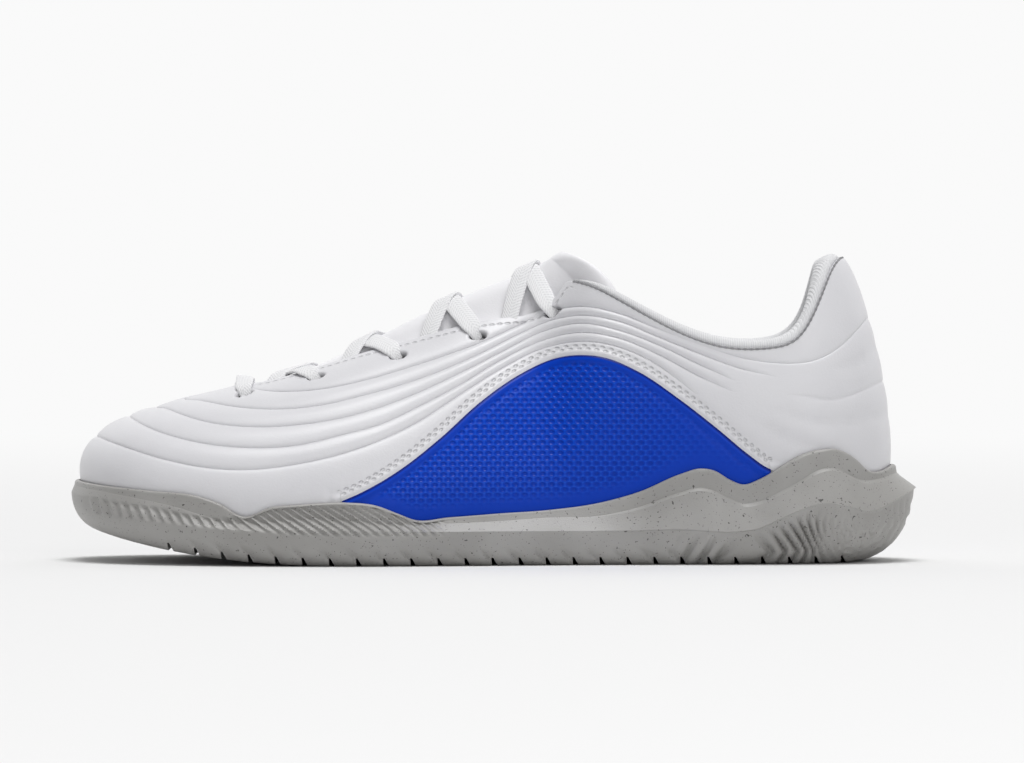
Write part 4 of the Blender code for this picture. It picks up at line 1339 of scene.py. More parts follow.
@dataclass
class SidePanel:
    """A humped blue panel with a rolled edge, in its recess of the shell."""

    last: Last
    side: Side
    ends: tuple[float, float] = (0.325, 0.824)
    columns: int = 320
    rows: int = 84
    tuck: float = 0.0024
    overlap: float = 0.0002
    proud: float = 0.00035
    bead: float = 0.00028
    bead_place: tuple[float, float] = (0.0017, 0.0006)
    hollow_place: tuple[float, float] = (0.0036, 0.0012)
    sunk: float = 0.0009
    edge_round: float = 0.0011
    film: float = 0.0005
    obj: bpy.types.Object = field(init=False)

    def build(self) -> "SidePanel":
        """Makes the panel.

        Formula: the wall between the sole's edge and the humped outline, moved out by a quarter
        round along the outline, a bead inside it and a shallow hollow inside the bead.

        Returns:
            The panel.
        """
        last = self.last
        fine = self.side * np.linspace(6.5, 17.5, 881)
        x = last.wall(fine, last.height_on_wall(fine, last.edge_height))[:, 0]
        ends = [fine[np.argmin(np.abs(x - last.length_at(share)))] for share in self.ends]
        p = np.linspace(ends[0], ends[1], self.columns)
        low = last.height_on_wall(p, lambda at: last.edge_height(at) - self.tuck)
        high = last.height_on_wall(p, lambda at: last.panel_height(at) + self.overlap)
        high = np.maximum(high, low + 1e-4)
        h = last.spread(p, low, high, np.linspace(0, 1, self.rows))
        grid = np.broadcast_to(p, h.shape)
        points, normals = last.wall(grid, h), last.normal(grid, h)
        out, _ = last.from_panel(points)
        inside = -out
        edge = np.sqrt(1 - np.clip(1 - (inside + self.overlap) / self.edge_round, 0, 1) ** 2)
        lift = (self.sunk + self.proud) * edge - self.sunk
        lift += self.bead * (bell(inside, *self.bead_place) - bell(inside, *self.hollow_place))
        share = last.share_at(points[..., 0])
        above = points[..., 2] - last.edge_height(points[..., 0])
        dimpled = (1 - 0.75 * ramp(share, 0.66, 0.76)) * ramp(above, 0.002, 0.008)
        layers = {"panel_out": out, "dimpled": dimpled}
        self.obj = grid_object(f"panel_film_{self.side.word}", points + lift[..., None] * normals,
                               layers=layers, flip=self.side > 0)
        return self

    def dress(self, film: bpy.types.Material) -> None:
        """Gives the panel a thin body.

        Args:
            film: its material.
        """
        body = self.obj.modifiers.new("body", "SOLIDIFY")
        body.thickness = self.film
        body.offset = -1
        ready(self.obj, film, (f"side_panel_{self.side.word}",))


@dataclass
class Sole:
    """The cup sole with its waved edge, tiers, ribs, blades, fins and slanted lugs."""

    last: Last
    half_columns: int = 800
    lip: float = 0.0016
    lip_round: float = 0.0010
    cup_gap: float = 0.0004
    tier: float = 0.0010
    undercut: float = 0.0008
    rib_pitch: float = 0.0036
    rib_depth: float = 0.0009
    blade_pitch: tuple[float, float] = (0.0064, 0.0025)
    blade_reach: tuple[float, float] = (0.745, 0.890)
    blade_depth: float = 0.0026
    blade_turn: float = 0.0047
    curl_fade: float = 0.70
    fin_depth: float = 0.0015
    fin_lean: float = 0.9
    curl_centre: tuple[float, float] = (0.938, 0.0155)
    lug_pitch: float = 0.0092
    lug_gap: float = 0.0026
    lug_depth: float = 0.0028
    lug_slant: float = 0.0022
    lug_ends: tuple[float, float] = (0.118, 0.905)
    obj: bpy.types.Object = field(init=False)

    def relief(self, points: Array) -> Array:
        """Ribs, blades and fins of the sidewall.

        Formula: ribs are crests, the power 1.8 of a sine wave of x + lean * (z - middle) over the
        rib pitch, where middle is the middle line of the rib band.

        Args:
            points: points of the sidewall.

        Returns:
            How far each point is moved inwards.
        """
        x, z = points[..., 0], points[..., 2]
        share, tall = self.last.share_at(x), z / self.last.sidewall_height
        low, high, lean = (through(RIB_BAND, column, share) for column in (1, 2, 3))
        band = ramp(tall, low - 0.01, low + 0.03) * (1 - ramp(tall, high - 0.03, high))
        band = band * (1 - ramp(share, 0.42, 0.455)) * ramp(share, 0.012, 0.04)
        middle = self.last.sidewall_height * (low + high) / 2
        wave = 0.5 + 0.5 * np.sin(2 * pi * (x + lean * (z - middle)) / self.rib_pitch)
        ribs = self.rib_depth * band * (1 - wave ** 1.8)
        return ribs + self.blades(x, z, share) + self.fins(x, z, share)

    def blades(self, x: Array, z: Array, share: Array) -> Array:
        """Curved blades low on the rear sidewall, which curl round a point at the heel.

        Formula: narrow hollows, the fifth power of the cosine of pi times a phase, which is the
        integral of 1 / pitch over a place, where the pitch shrinks evenly towards the heel. The
        place is x less a bend that leans each blade back down to the turn and forward under it;
        behind, it is the curl's centre less the distance from it, with small waves round it. The
        hollows deepen downwards from the widest line.

        Args:
            x, z: where each point is.
            share: its share of the length.

        Returns:
            How far each point is moved inwards.
        """
        start, end = (self.last.length_at(at) for at in self.blade_reach)
        first, final = self.blade_pitch
        lean = 1.2 * ramp(share, 0.76, 0.83) - 0.5
        bend = lean * np.clip(0.015 - z, 0, 0.015 - self.blade_turn)
        bend = bend - 0.6 * np.clip(self.blade_turn - z, 0, None)
        centre = self.last.length_at(self.curl_centre[0])
        across, up = x - centre, z - self.curl_centre[1]
        radius = np.hypot(across, up)
        curl = centre - radius - 0.0005 * ramp(radius, 0.002, 0.010) * np.sin(9 * np.arctan2(up, across))
        behind = ramp(share, 0.855, 0.895)
        place = (x - bend) * (1 - behind) + curl * behind - start
        rate = (first - final) / (end - start)
        inner = np.clip(place, 0, end - start)
        phase = -np.log(1 - rate * inner / first) / rate
        phase = phase + (place - inner) / np.where(place < 0, first, final)
        below = self.last.sidewall_height * through(SOLE_STEPS, 2, share) - z
        strength = ramp(share, 0.70, 0.73) * ramp(below, 0.0010, 0.0030) * (1 - self.curl_fade * behind)
        strength = strength * (0.3 + 0.7 * ramp(below, 0.002, 0.009)) * ramp(radius, 0.0, 0.004)
        return self.blade_depth * strength * (0.5 + 0.5 * np.cos(2 * pi * phase)) ** 2.5

    def fins(self, x: Array, z: Array, share: Array) -> Array:
        """Leaf-shaped hollows above the lug gaps.

        Formula: a saw wave of x + lean * rise over the lug pitch, squared, with its steep side
        rounded, which fades out at a height that swells and sinks once in each pitch.

        Args:
            x, z: where each point is.
            share: its share of the length.

        Returns:
            How far each point is moved inwards.
        """
        rise = z - self.last.tread_height(x)
        first = self.last.length_at(self.lug_ends[0]) + self.lug_gap
        run = (x + self.fin_lean * rise - first) / self.lug_pitch
        saw = run - np.floor(run)
        height = 0.0045 + 0.0035 * (1 - saw)
        return (self.fin_depth * (1 - saw) ** 2 * ramp(saw, 0.0, 0.14) * ramp(share, 0.10, 0.16)
                * (1 - ramp(share, 0.71, 0.75)) * (1 - ramp(rise, 0.5 * height, height)))

    def sidewall(self, foot: Array, outward: Array, edge: Array, lip: Array) -> tuple[Array, Array]:
        """The sidewall, from the tread's edge to the lip.

        Formula: in each column a quarter ellipse, with an undercut at its top, goes from the
        tread's edge to the widest line; then the profile leans in to the ridge, turns in by a
        chamfer of the tier's size and rises to the lip.

        Args:
            foot: points of the feather line.
            outward: their outward directions.
            edge: points where the sole's edge meets the upper.
            lip: distances of the lip out from the feather line.

        Returns:
            The rings of points from below, and the lip's points.
        """
        last = self.last
        share = last.share_at(foot[:, 0])
        wide = last.ball_width * through(SOLE_FLANGE, 1, share)
        ridge = lip + 0.2 * (wide - lip)

        def ring(offset: Array, height: Array) -> Array:
            """Points out from the feather line at a height."""
            points = foot + offset[:, None] * outward
            return np.stack([points[:, 0], points[:, 1], np.broadcast_to(height, offset.shape)], -1)

        def at(offset: Array) -> Array:
            """Share of the length where a ring stands."""
            return last.share_at((foot + offset[:, None] * outward)[:, 0])

        base = last.ball_width * through(SOLE_FLANGE, 2, share)
        ridge_z = np.minimum(last.sidewall_height * through(SOLE_STEPS, 1, at(ridge)), edge[:, 2] - self.lip)
        wide_z = last.sidewall_height * through(SOLE_STEPS, 2, at(wide))
        wide_z = np.minimum(wide_z, ridge_z - self.lip)
        bottom = ring(base, last.tread_height(last.length_at(at(base))))
        side = ring(wide, wide_z)
        rear = ramp(share, 0.60, 0.70)
        rings = []
        for angle in pi / 2 * (1 - (1 - np.linspace(0, 1, 22)) ** 1.5):
            part = bottom + (side - bottom) * np.sin(angle) ** 0.92
            part[:, 2] = side[:, 2] - (side[:, 2] - bottom[:, 2]) * np.cos(angle)
            under = self.undercut * rear * ramp(side[:, 2] - part[:, 2], 0.0, 0.0006)
            rings.append(part - under[:, None] * outward)
        shelf = ring(ridge, ridge_z)
        rings += [side + (shelf - side) * (1 - (1 - t) ** 1.8) for t in np.linspace(0, 1, 12)[1:]]
        top = ring(lip, edge[:, 2] - self.lip_round)
        tier = (0.0001 + self.tier * rear)[:, None]
        for t in (0.15, 0.5, 0.85, 1.0):
            part = shelf - outward * tier * t
            part[:, 2] += tier[:, 0] * t
            rings.append(part)
        rings += [part + (top - part) * t ** 1.3 for t in np.linspace(0, 1, 10)[1:]]
        return np.array(rings), top

    def build(self) -> "Sole":
        """Makes the sole.

        Formula: the sidewall, moved in by its relief, a quarter round over the lip, then the
        upper's own face down into the cup. Slots for the lug gaps are cut across it.

        Returns:
            The sole.
        """
        last = self.last
        p = last.columns(self.half_columns, density=SOLE_DENSITY)
        foot, outward = last.feather(p)
        low = last.height_on_wall(p, last.edge_height)
        edge = last.wall(p, low)
        lip = np.sum((edge - foot) * outward, axis=1) + self.cup_gap + self.lip
        face, top = self.sidewall(foot, outward, edge, lip)
        face = face - self.relief(face)[..., None] * outward
        rings = []
        for angle in np.linspace(0, pi / 2, 6)[1:]:
            part = top - outward * (self.lip_round * (1 - np.cos(angle)))
            part[:, 2] = edge[:, 2] + self.lip_round * (np.sin(angle) - 1)
            rings.append(part)
        cup = [last.skin(p, low * down, -self.cup_gap) for down in (1.0, 0.5, 0.0)]
        cup[-1][:, 2] = foot[:, 2] - 0.0006
        points = np.concatenate([face, rings, cup])
        self.obj = mesh_object("speckled_sole", points.reshape(-1, 3), closed_tube(len(points), len(p)),
                               outward=True)
        self.cut_lugs()
        return self

    def cut_lugs(self) -> None:
        """Cuts the gaps between the lugs out of the tread.

        Formula: slots across the sole, one for each pitch, each a prism that narrows upwards and
        leans.
        """
        last = self.last
        start, end = (last.length_at(share) for share in self.lug_ends)
        x = np.linspace(start, end, round((end - start) / self.lug_pitch) + 1)
        wide, tall, slant = self.lug_gap, self.lug_depth, self.lug_slant
        corner_x = np.stack([x + slant / 2, x + slant / 2 + 1.2 * wide, x + wide / 2, x + wide / 4], -1)
        corner_z = last.tread_height(corner_x) + np.array((-tall, -tall, tall, tall))
        reach = last.ball_width
        corners = np.stack([np.stack([corner_x, np.full_like(corner_x, y), corner_z], -1)
                            for y in (-reach, reach)], 1)
        box = np.array([(0, 1, 2, 3), (4, 5, 6, 7), (0, 1, 5, 4), (1, 2, 6, 5), (2, 3, 7, 6), (3, 0, 4, 7)])
        faces = (box[None] + 8 * np.arange(len(x))[:, None, None]).reshape(-1, 4)
        gaps = mesh_object("lug_gaps", corners.reshape(-1, 3), faces, outward=True)
        cut = self.obj.modifiers.new("gaps", "BOOLEAN")
        cut.operation, cut.solver, cut.object = "DIFFERENCE", "EXACT", gaps
        seen = self.obj.evaluated_get(bpy.context.evaluated_depsgraph_get())
        self.obj.data, spare = bpy.data.meshes.new_from_object(seen), self.obj.data
        self.obj.modifiers.clear()
        bpy.data.meshes.remove(spare)
        bpy.data.objects.remove(gaps, do_unlink=True)
        self.obj.data.shade_smooth()
        self.obj.data.set_sharp_from_angle(angle=0.65)

    def dress(self) -> None:
        """Gives the sole its speckled rubber."""
        ready(self.obj, Rubber().make(), ("outsole",))


@dataclass
class Insole:
    """The cloth-topped insole, hollowed along its middle, in the cup of the sole."""

    last: Last
    thickness: float = 0.0045
    inset: float = 0.0034
    hollow: float = 0.0012
    edge_drop: float = 0.0012
    play: float = 0.0003
    obj: bpy.types.Object = field(init=False)

    def build(self) -> "Insole":
        """Makes the insole.

        Formula: rows shrink from the foot's outline to its middle line, at the insole's height less
        the hollow times 1 - share^2; the underside is the outline again at the feather line.

        Returns:
            The insole.
        """
        last = self.last
        p = last.columns(150)
        foot, outward = last.feather(p)
        side = self.thickness - self.edge_drop
        level = last.height_on_wall(p, lambda x: last.feather_height(x) + side)
        rim = last.skin(p, level, np.full(len(p), self.inset))
        middle = np.stack([np.clip(rim[:, 0], last.length_at(0.09), last.length_at(0.87)),
                           last.ball_width * (last.value("ridge", p) * 0.8), rim[:, 2]], -1)
        shares = np.concatenate([[1.0, 0.99], np.linspace(0.95, 0.02, 24)])[:, None, None]
        top = middle + (rim - middle) * shares
        rise = self.thickness - self.play - self.hollow * (1 - shares[..., 0] ** 2)
        rise[0] -= self.edge_drop
        top[..., 2] = last.feather_height(top[..., 0]) + rise
        under = foot - self.inset * outward
        under[:, 2] -= self.play
        points = np.concatenate([under[None], top])
        self.obj = grid_object("insole_board", points, around=True, flip=True)
        return self

    def dress(self) -> None:
        """Gives the insole its cloth."""
        cloth = Cloth((0.30, 0.31, 0.36), (0.13, 0.135, 0.165), pitch=0.0012)
        ready(self.obj, cloth.make("insole_cloth"), ("insole",))


@dataclass
class Tongue:
    """The padded tongue, under the eyestays in front and wrapped round the ankle at its top."""

    last: Last
    thickness: float = 0.0050
    puff: float = 0.0004
    rows: int = 150
    across: int = 15
    obj: bpy.types.Object = field(init=False)

    def section(self, p: float, down: float, inset: float, centre: Array) -> Array:
        """Points across the tongue.

        Formula: along the wall under each eyestay, then a cubic arch from the gap's edge to the
        centre, level where it gets there.

        Args:
            p: station.
            down: how far the flank reaches below the gap's edge.
            inset: how far the flank lies inside the wall.
            centre: point of the centre line.

        Returns:
            The points, from the outer side to the inner.
        """
        t = np.linspace(0, 1, self.across)[:, None]
        halves = []
        for side in Side:
            under = self.last.by_rim(np.full(6, side * p), down * np.linspace(1, 0, 6), inset)
            edge = under[-1]
            ahead = edge - under[-2]
            ahead *= np.linalg.norm(centre - edge) * 0.45 / np.linalg.norm(ahead)
            level = np.array((0, side * abs(edge[1] - centre[1]) * 0.55, 0))
            arch = (edge * (1 - t) ** 3 + (edge + ahead) * 3 * t * (1 - t) ** 2
                    + (centre + level) * 3 * t * t * (1 - t) + centre * t ** 3)
            halves.append(np.concatenate([under[:-1], arch]))
        return np.concatenate([halves[0], halves[1][-2::-1]])

    def build(self) -> "Tongue":
        """Makes the tongue.

        Formula: the middle face lies half the padding inside the sections. The two outer faces
        stand off it by half the padding times the square root of 1 - e, where e is the larger of
        the 14th power of the way to a side and the 40th power of the way to an end, so the
        padding thins to a rounded rim. The top is fuller by a puff in the middle.

        Returns:
            The tongue.
        """
        last = self.last
        sections = []
        for p in np.linspace(TONGUE[0, 0], TONGUE[-1, 0], self.rows):
            down, inset, share, height = (through(TONGUE, column, p) for column in range(1, 5))
            ridge = last.ball_width * last.value("ridge", min(p, 12.0))
            centre = np.array((last.length_at(share), ridge, last.instep_height * height))
            sections.append(self.section(p, last.ball_width * down, last.ball_width * inset, centre))
        face = np.array(sections)
        along, across = np.gradient(face, axis=0), np.gradient(face, axis=1)
        normal = unit(np.cross(along, across))
        normal = normal * np.sign(normal[len(normal) // 2, face.shape[1] // 2, 2])
        way_v = np.abs(np.linspace(-1, 1, face.shape[0]))[:, None]
        way_u = np.abs(np.linspace(-1, 1, face.shape[1]))[None, :]
        half = self.thickness / 2 * np.sqrt(1 - np.maximum(way_u ** 14, way_v ** 40))[..., None]
        middle = face - normal * self.thickness / 2
        puff = self.puff * (1 - way_u ** 2)[..., None]
        points = np.stack([middle + normal * (half + puff), middle - normal * half])
        faces = grid_faces(*face.shape[:2])
        both = np.concatenate([faces, faces[:, ::-1] + face.shape[0] * face.shape[1]])
        self.obj = mesh_object("padded_tongue", points.reshape(-1, 3), both, outward=True)
        return self

    def dress(self) -> None:
        """Gives the tongue its soft leather, brighter than the shell's as painted light."""
        # painted light: a brighter copy of the shell's white leather, standing in for the light on the
        # tongue's top
        soft = WhiteLeather(white=(0.90, 0.895, 0.915), shade=(0.87, 0.865, 0.89), roughness=0.55)
        ready(self.obj, soft.make("tongue_leather_painted_light", False), ("tongue",))


@dataclass
class Collar:
    """The padded knit collar, which lines the top of the wall and rolls over its top line."""

    last: Last
    pad_depth: float = 0.032
    pad_thickness: float = 0.008
    pad_roll: float = 0.0055
    fullness: float = 1.3
    heel_puff: float = 0.0022
    lining: float = 0.0013
    stations: int = 420
    around: int = 44
    wrinkle: float = 0.0003
    wrinkle_pitch: float = 0.0034
    girth: float = 0.09
    thread_radius: float = 0.00034
    thread_twist: float = 0.0022
    obj: bpy.types.Object = field(init=False)
    seam: bpy.types.Object = field(init=False)

    def outline(self, size: Array) -> Array:
        """The collar's section.

        Formula: thirteen points that go round the pad, from its lower end up inside the wall, over
        the top line, and down the pad's own face.

        Args:
            size: stations, without their sign.

        Returns:
            Distances down from the top line and inside the wall, for each point and station.
        """
        last = self.last
        thick = self.pad_thickness * through(PADDING, 1, size) + self.lining
        roll = self.fullness * self.pad_roll * through(PADDING, 2, size)
        roll += self.heel_puff * ramp(size, 19.4, 20.9)
        depth = self.pad_depth * through(PADDING, 3, size)
        inside = last.wall_thickness + 0.0004
        even = np.ones(len(size))
        return np.array([
            *((depth * share, inside * even) for share in (1.0, 0.7, 0.4, 0.15)),
            (0.0002 * even, inside * even), (-0.0011 * even, last.wall_thickness / 3 * even),
            (-0.7 * roll - 0.0006, 0.0012 * even),
            (-roll - 0.0004, inside + 0.3 * thick), (-0.7 * roll, inside + 0.7 * thick),
            (0.1 * roll, inside + 0.95 * thick), (depth * 0.25, inside + thick),
            (depth * 0.6, inside + 0.7 * thick), (depth, inside + 0.1 * thick + self.lining / 2)])

    def build(self) -> "Collar":
        """Makes the collar.

        Formula: the rounded section, carried along the top line. Small sine wrinkles cross the
        roll where it climbs to the heel.

        Returns:
            The collar.
        """
        last = self.last
        half = np.linspace(PADDING[0, 0], HEEL_STATION, self.stations)
        p = np.concatenate([-half, half[-2::-1]])
        size = np.abs(p)
        run = run_along(last.by_rim(p, 0.0, 0.0))
        climb = ramp(size, 16.3, 17.2) * (1 - ramp(size, 19.3, 20.2))
        rings = []
        for index, (down, inset) in enumerate(self.rounded(self.outline(size))):
            on_roll = bell(index / self.around, 0.50, 0.10)
            fold = self.wrinkle * climb * on_roll * np.sin(2 * pi * run / self.wrinkle_pitch) ** 2
            rings.append(last.by_rim(p, down + fold, inset + 0.5 * fold))
        points = np.swapaxes(np.array(rings), 0, 1)
        round_it = np.linspace(0, self.girth, self.around)
        uv = np.stack(np.broadcast_arrays(run[:, None], round_it[None, :]), -1)
        self.obj = mesh_object("knit_collar", points.reshape(-1, 3), closed_tube(len(p), self.around),
                               uv=uv.reshape(-1, 2), outward=True)
        self.seam = self.thread(last.by_rim(p, -0.0003, 0.0001), run)
        return self

    def thread(self, path: Array, run: Array) -> bpy.types.Object:
        """The seam's twisted thread.

        Formula: a circle whose radius swells and sinks with the twist, carried along a path.

        Args:
            path: its middle line.
            run: the length along it.

        Returns:
            The thread.
        """
        angles = np.linspace(0, 2 * pi, 9)[:-1]
        twist = 2 * pi * run / self.thread_twist
        size = self.thread_radius * (1 + 0.25 * np.sin(twist))[:, None, None]
        section = np.stack([np.cos(angles), np.sin(angles)], -1)[None] * size
        skin = tube(path, np.broadcast_to((0.0, 0.0, 1.0), path.shape), section)
        return grid_object("collar_seam", skin, around=True, outward=True)

    def rounded(self, outline: Array) -> Array:
        """A closed outline, rounded.

        Formula: the closed Catmull-Rom curve of its points, at evenly spread parameters.

        Args:
            outline: points of the outline.

        Returns:
            As many points as the section has.
        """
        count = len(outline)
        at = np.linspace(0, count, self.around, endpoint=False)
        i = np.floor(at).astype(int)
        t = (at - i)[:, None, None]
        a, b, c, d = (outline[(i + k) % count] for k in (-1, 0, 1, 2))
        return 0.5 * (2 * b + (c - a) * t + (2 * a - 5 * b + 4 * c - d) * t ** 2
                      + (3 * b - a - 3 * c + d) * t ** 3)

    def dress(self) -> None:
        """Gives the collar its knit and the seam its grey thread."""
        ready(self.obj, Knit().make(), ("collar",))
        thread = Cloth((0.42, 0.42, 0.43), (0.22, 0.22, 0.23), pitch=0.0006)
        ready(self.seam, thread.make("seam_thread"))


@dataclass
class Laces:
    """The flat lace: a bar at the first eyelets, then a crossing between each two pairs."""

    last: Last
    width: float = 0.0063
    thickness: float = 0.0013
    steps: int = 72
    dip: float = 0.0030
    tuck: float = 0.0024
    steepest: float = 0.7
    stand_off: float = 0.0003
    over_other: float = 0.9
    emerging: float = 0.32
    end_down: float = 0.0026
    tongue_only: float = 0.62
    trees: tuple[BVHTree, BVHTree] = field(init=False)

    def look_at(self, upper: bpy.types.Object, tongue: bpy.types.Object) -> "Laces":
        """Takes the surfaces that the lace lies on.

        Args:
            upper: the leather shell.
            tongue: the tongue.

        Returns:
            The laces.
        """
        self.trees = tuple(
            BVHTree.FromPolygons([v.co.copy() for v in obj.data.vertices],
                                 [tuple(f.vertices) for f in obj.data.polygons])
            for obj in (upper, tongue))
        return self

    def highest(self, plan: Array, trees: tuple[BVHTree, ...]) -> Array:
        """The highest surface under each point of a plan, no steeper across it than the lace lies.

        Args:
            plan: rows of points, seen from above.
            trees: the surfaces.

        Returns:
            The height at each point.
        """
        heights = []
        for x, y in plan.reshape(-1, 2):
            hits = [tree.ray_cast(Vector((x, y, 1)), Vector((0, 0, -1)))[0] for tree in trees]
            heights.append(max([hit.z for hit in hits if hit] or [np.nan]))
        heights = np.array(heights).reshape(plan.shape[:-1])
        middle = heights[:, heights.shape[1] // 2]
        place, seen = np.arange(len(middle)), ~np.isnan(middle)
        middle = np.interp(place, place[seen], middle[seen])[:, None]
        tilt = self.width * self.steepest * np.abs(np.linspace(-0.5, 0.5, heights.shape[1]))
        return middle + np.clip(np.nan_to_num(heights - middle), -tilt, tilt)

    def taut(self, heights: Array) -> Array:
        """The upper hull of a row of heights, as a lace that is pulled tight lies over them.

        Formula: from each height, the line to the one that rises most steeply from it.

        Args:
            heights: the heights, evenly spaced.

        Returns:
            The hull at the same places.
        """
        count = len(heights)
        place = np.arange(count)
        held = heights.copy()
        for j in range(count - 2):
            slopes = (heights[j + 1:] - heights[j]) / (place[j + 1:] - j)
            k = j + 1 + int(np.argmax(slopes))
            line = heights[j] + (heights[k] - heights[j]) * (place[j:k + 1] - j) / (k - j)
            held[j:k + 1] = np.maximum(held[j:k + 1], line)
        return held

    def ribbon(self, name: str, start: Array, end: Array, into: Array, free: float,
               lift: float) -> bpy.types.Object:
        """One run of the lace.

        Formula: in plan a straight strip from start to end. Its middle is the tight hull of the
        surfaces under it, smoothed, plus a lift; its two edges follow the same at their own place.
        It narrows and dips into the eyelet at its start and is tucked under the far eyestay at its
        end. The section is a flattened superellipse.

        Args:
            name: name of the piece.
            start: the eyelet's centre.
            end: where it goes in under the far eyestay.
            into: direction into the eyelet.
            free: share of the run after which only the tongue is under it.
            lift: how far it stands off.

        Returns:
            The ribbon.
        """
        s = np.linspace(0, 1, self.steps)
        run = (end - start)[:2]
        across = np.array((-run[1], run[0])) / np.linalg.norm(run) * self.width / 2
        lanes = np.array((-1.0, -0.5, 0.0, 0.5, 1.0))
        plan = start[:2] + s[:, None, None] * run + lanes[:, None] * across
        heights = np.where((s < free)[:, None], self.highest(plan, self.trees),
                           self.highest(plan, self.trees[1:]))
        held = np.stack([self.taut(heights[:, lane]) for lane in range(len(lanes))], 1)
        chord = held[:, :1] + (held[:, -1:] - held[:, :1]) * (lanes + 1) / 2
        sides = chord[:, (0, -1)] + np.max(held - chord, axis=1, keepdims=True) + lift
        for _ in range(6):
            sides[1:-1] = (sides[:-2] + 2 * sides[1:-1] + sides[2:]) / 4
        reach = s * np.linalg.norm(run)
        if free < 1:
            sides -= (self.tuck + lift) * bell(reach, reach[-1], 0.0045)[:, None]
        left = np.column_stack([plan[:, 0], sides[:, 0]])
        right = np.column_stack([plan[:, -1], sides[:, 1]])
        middle, half = (left + right) / 2, (right - left) / 2
        middle = middle + (self.dip + lift) * bell(reach, -0.0004, 0.0023)[:, None] * into
        half = half * (1 - 0.45 * bell(reach, 0.0, 0.0030))[:, None]
        forward = np.gradient(middle, axis=0)
        over = unit(np.cross(half, forward))
        over = over * np.sign(over[:, 2:])
        angles = np.linspace(0, 2 * pi, 21)[:-1]
        flat = np.sign(np.cos(angles)) * np.abs(np.cos(angles)) ** 0.55
        tall = np.sign(np.sin(angles)) * np.abs(np.sin(angles)) ** 0.8 * self.thickness / 2
        points = (middle[:, None] + half[:, None] * flat[:, None]
                  + over[:, None] * (tall + self.thickness / 2)[:, None])
        across_it = flat * self.width / 2
        uv = np.stack(np.broadcast_arrays(run_along(middle)[:, None], across_it[None, :]), -1)
        return mesh_object(name, points.reshape(-1, 3), closed_tube(self.steps, len(angles)),
                           uv=uv.reshape(-1, 2), outward=True)

    def build(self) -> list[tuple[bpy.types.Object, tuple[str, ...]]]:
        """Makes every run: the two halves of the bar, then the two runs of each crossing.

        Returns:
            Each ribbon with the CAD nodes that it stands for.
        """
        last = self.last
        insets = np.array([inset for _, inset in last.eyelets])
        stations = {side: [last.eyelet_station(side, *eyelet) for eyelet in last.eyelets] for side in Side}
        centres = {side: last.by_rim(np.array(stations[side]), insets, 0.0) for side in Side}
        inward = {side: last.by_rim(np.array(stations[side]), insets, 1.0) - centres[side] for side in Side}
        made = []
        middle = (centres[Side.LATERAL][0] + centres[Side.MEDIAL][0]) / 2
        for side in Side:
            bar = self.ribbon(f"lace_bar_{side.word}", centres[side][0], middle, inward[side][0], 2.0,
                              self.stand_off)
            made.append((bar, ("lace_bar",) if side < 0 else ()))
        for number in range(1, len(last.eyelets)):
            for side in Side:
                far = stations[Side(-side)]
                end = last.by_rim(far[number - 1] + self.emerging * (far[number] - far[number - 1]),
                                  self.end_down, 0.0)[0]
                lift = self.stand_off + (self.over_other * self.thickness if side > 0 else 0)
                ribbon = self.ribbon(f"lace_run_{number}_{side.word}", centres[side][number], end,
                                     inward[side][number], self.tongue_only, lift)
                made.append((ribbon, (f"lace_cross_{number}",) if side < 0 else ()))
        return made

    def dress(self, weave: bpy.types.Material) -> None:
        """Builds the runs and gives each its weave."""
        for ribbon, nodes in self.build():
            ready(ribbon, weave, nodes)


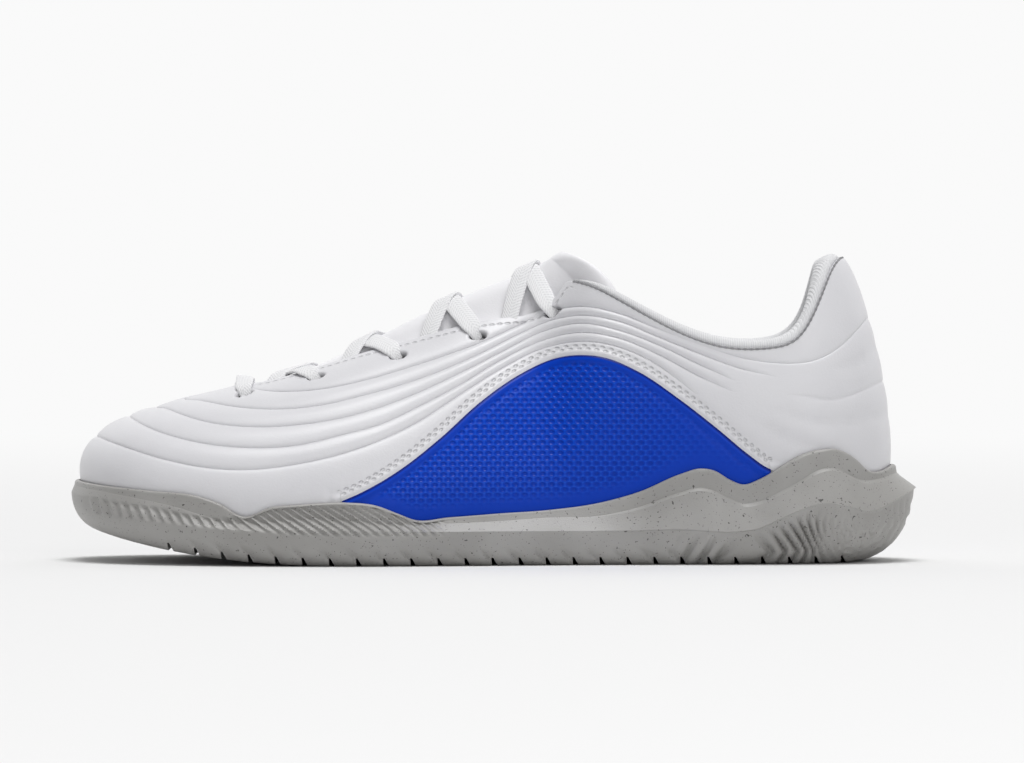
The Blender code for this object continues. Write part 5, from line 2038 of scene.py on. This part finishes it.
@dataclass(frozen=True)
class Studio:
    """A white table and wall under a wide ceiling light, and the camera at the photograph's angle."""

    camera_place: Triple = (0.0065, -2.5, 0.11)
    lens: float = 251.1
    tilt: float = 1.083
    paper: Colour = (0.80, 0.80, 0.80)
    glow: Colour = (0.955, 0.955, 0.955)
    world_glow: float = 0.20
    glow_start: float = 0.15
    glow_full: float = 1.7
    table: tuple[Triple, ...] = ((-8, -5, 0), (8, -5, 0), (8, 3, 0), (-8, 3, 0))
    wall: tuple[Triple, ...] = ((-8, 3, 0), (8, 3, 0), (8, 3, 5), (-8, 3, 5))

    def light(self, name: str, place: Triple, size: float, power: float) -> None:
        """One square area light that faces the shoe.

        Args:
            name: its name.
            place: its place.
            size: its side.
            power: its power in watts.
        """
        lamp = bpy.data.lights.new(name, "AREA")
        lamp.energy = power
        lamp.size = size
        obj = bpy.data.objects.new(name, lamp)
        obj.location = place
        obj.rotation_euler = (-Vector(place)).to_track_quat("-Z", "Y").to_euler()
        bpy.context.scene.collection.objects.link(obj)

    def paper_material(self) -> bpy.types.Material:
        """White paper that turns into an even glow behind the shoe.

        Returns:
            The material.
        """
        shader = Shader("studio_paper", 0.9, specular_ior_level=0.0, emission_strength=1.0)
        far = shader.position()[1].step(self.glow_start, self.glow_full)
        black = (0.0, 0.0, 0.0)
        shader.colour(shader.mix(far, self.paper, black))
        shader.feed("Emission Color", shader.mix(far, black, self.glow))
        return shader.material

    def build(self) -> None:
        """Makes the table, the wall, the world, the lights and the camera."""
        paper = self.paper_material()
        for name, corners in (("studio_table", self.table), ("studio_wall", self.wall)):
            sheet = mesh_object(name, np.array(corners, float), np.array([[0, 1, 2, 3]]))
            sheet.data.materials.append(paper)
        world = bpy.data.worlds.new("studio")
        world.use_nodes = True
        sky = world.node_tree.nodes["Background"]
        sky.inputs["Color"].default_value = (1.0, 1.0, 1.0, 1.0)
        sky.inputs["Strength"].default_value = self.world_glow
        bpy.context.scene.world = world
        bpy.context.scene.view_settings.view_transform = "Standard"
        self.light("ceiling", (0.3, -0.5, 6.0), size=3.0, power=270.0)
        self.light("front", (0.8, -2.2, 0.8), size=1.6, power=13.0)
        camera = bpy.data.cameras.new("camera")
        camera.lens = self.lens
        camera.sensor_width = 36.0
        camera.clip_end = 50.0
        obj = bpy.data.objects.new("camera", camera)
        obj.location = self.camera_place
        obj.rotation_euler = (np.radians(90 - self.tilt), 0.0, 0.0)
        bpy.context.scene.collection.objects.link(obj)
        bpy.context.scene.camera = obj


def main() -> None:
    """Builds and dresses the shoe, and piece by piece."""
    logging.basicConfig(level=logging.INFO, format="%(message)s")
    last = Last()
    Studio().build()
    upper = Upper(last).build()
    upper.dress()
    film = PanelFilm().make()
    for side in Side:
        SidePanel(last, side).build().dress(film)
    Sole(last).build().dress()
    Insole(last).build().dress()
    tongue = Tongue(last).build()
    tongue.dress()
    Collar(last).build().dress()
    Laces(last).look_at(upper.obj, tongue.obj).dress(LaceWeave().make())


if __name__ == "__main__":
    main()
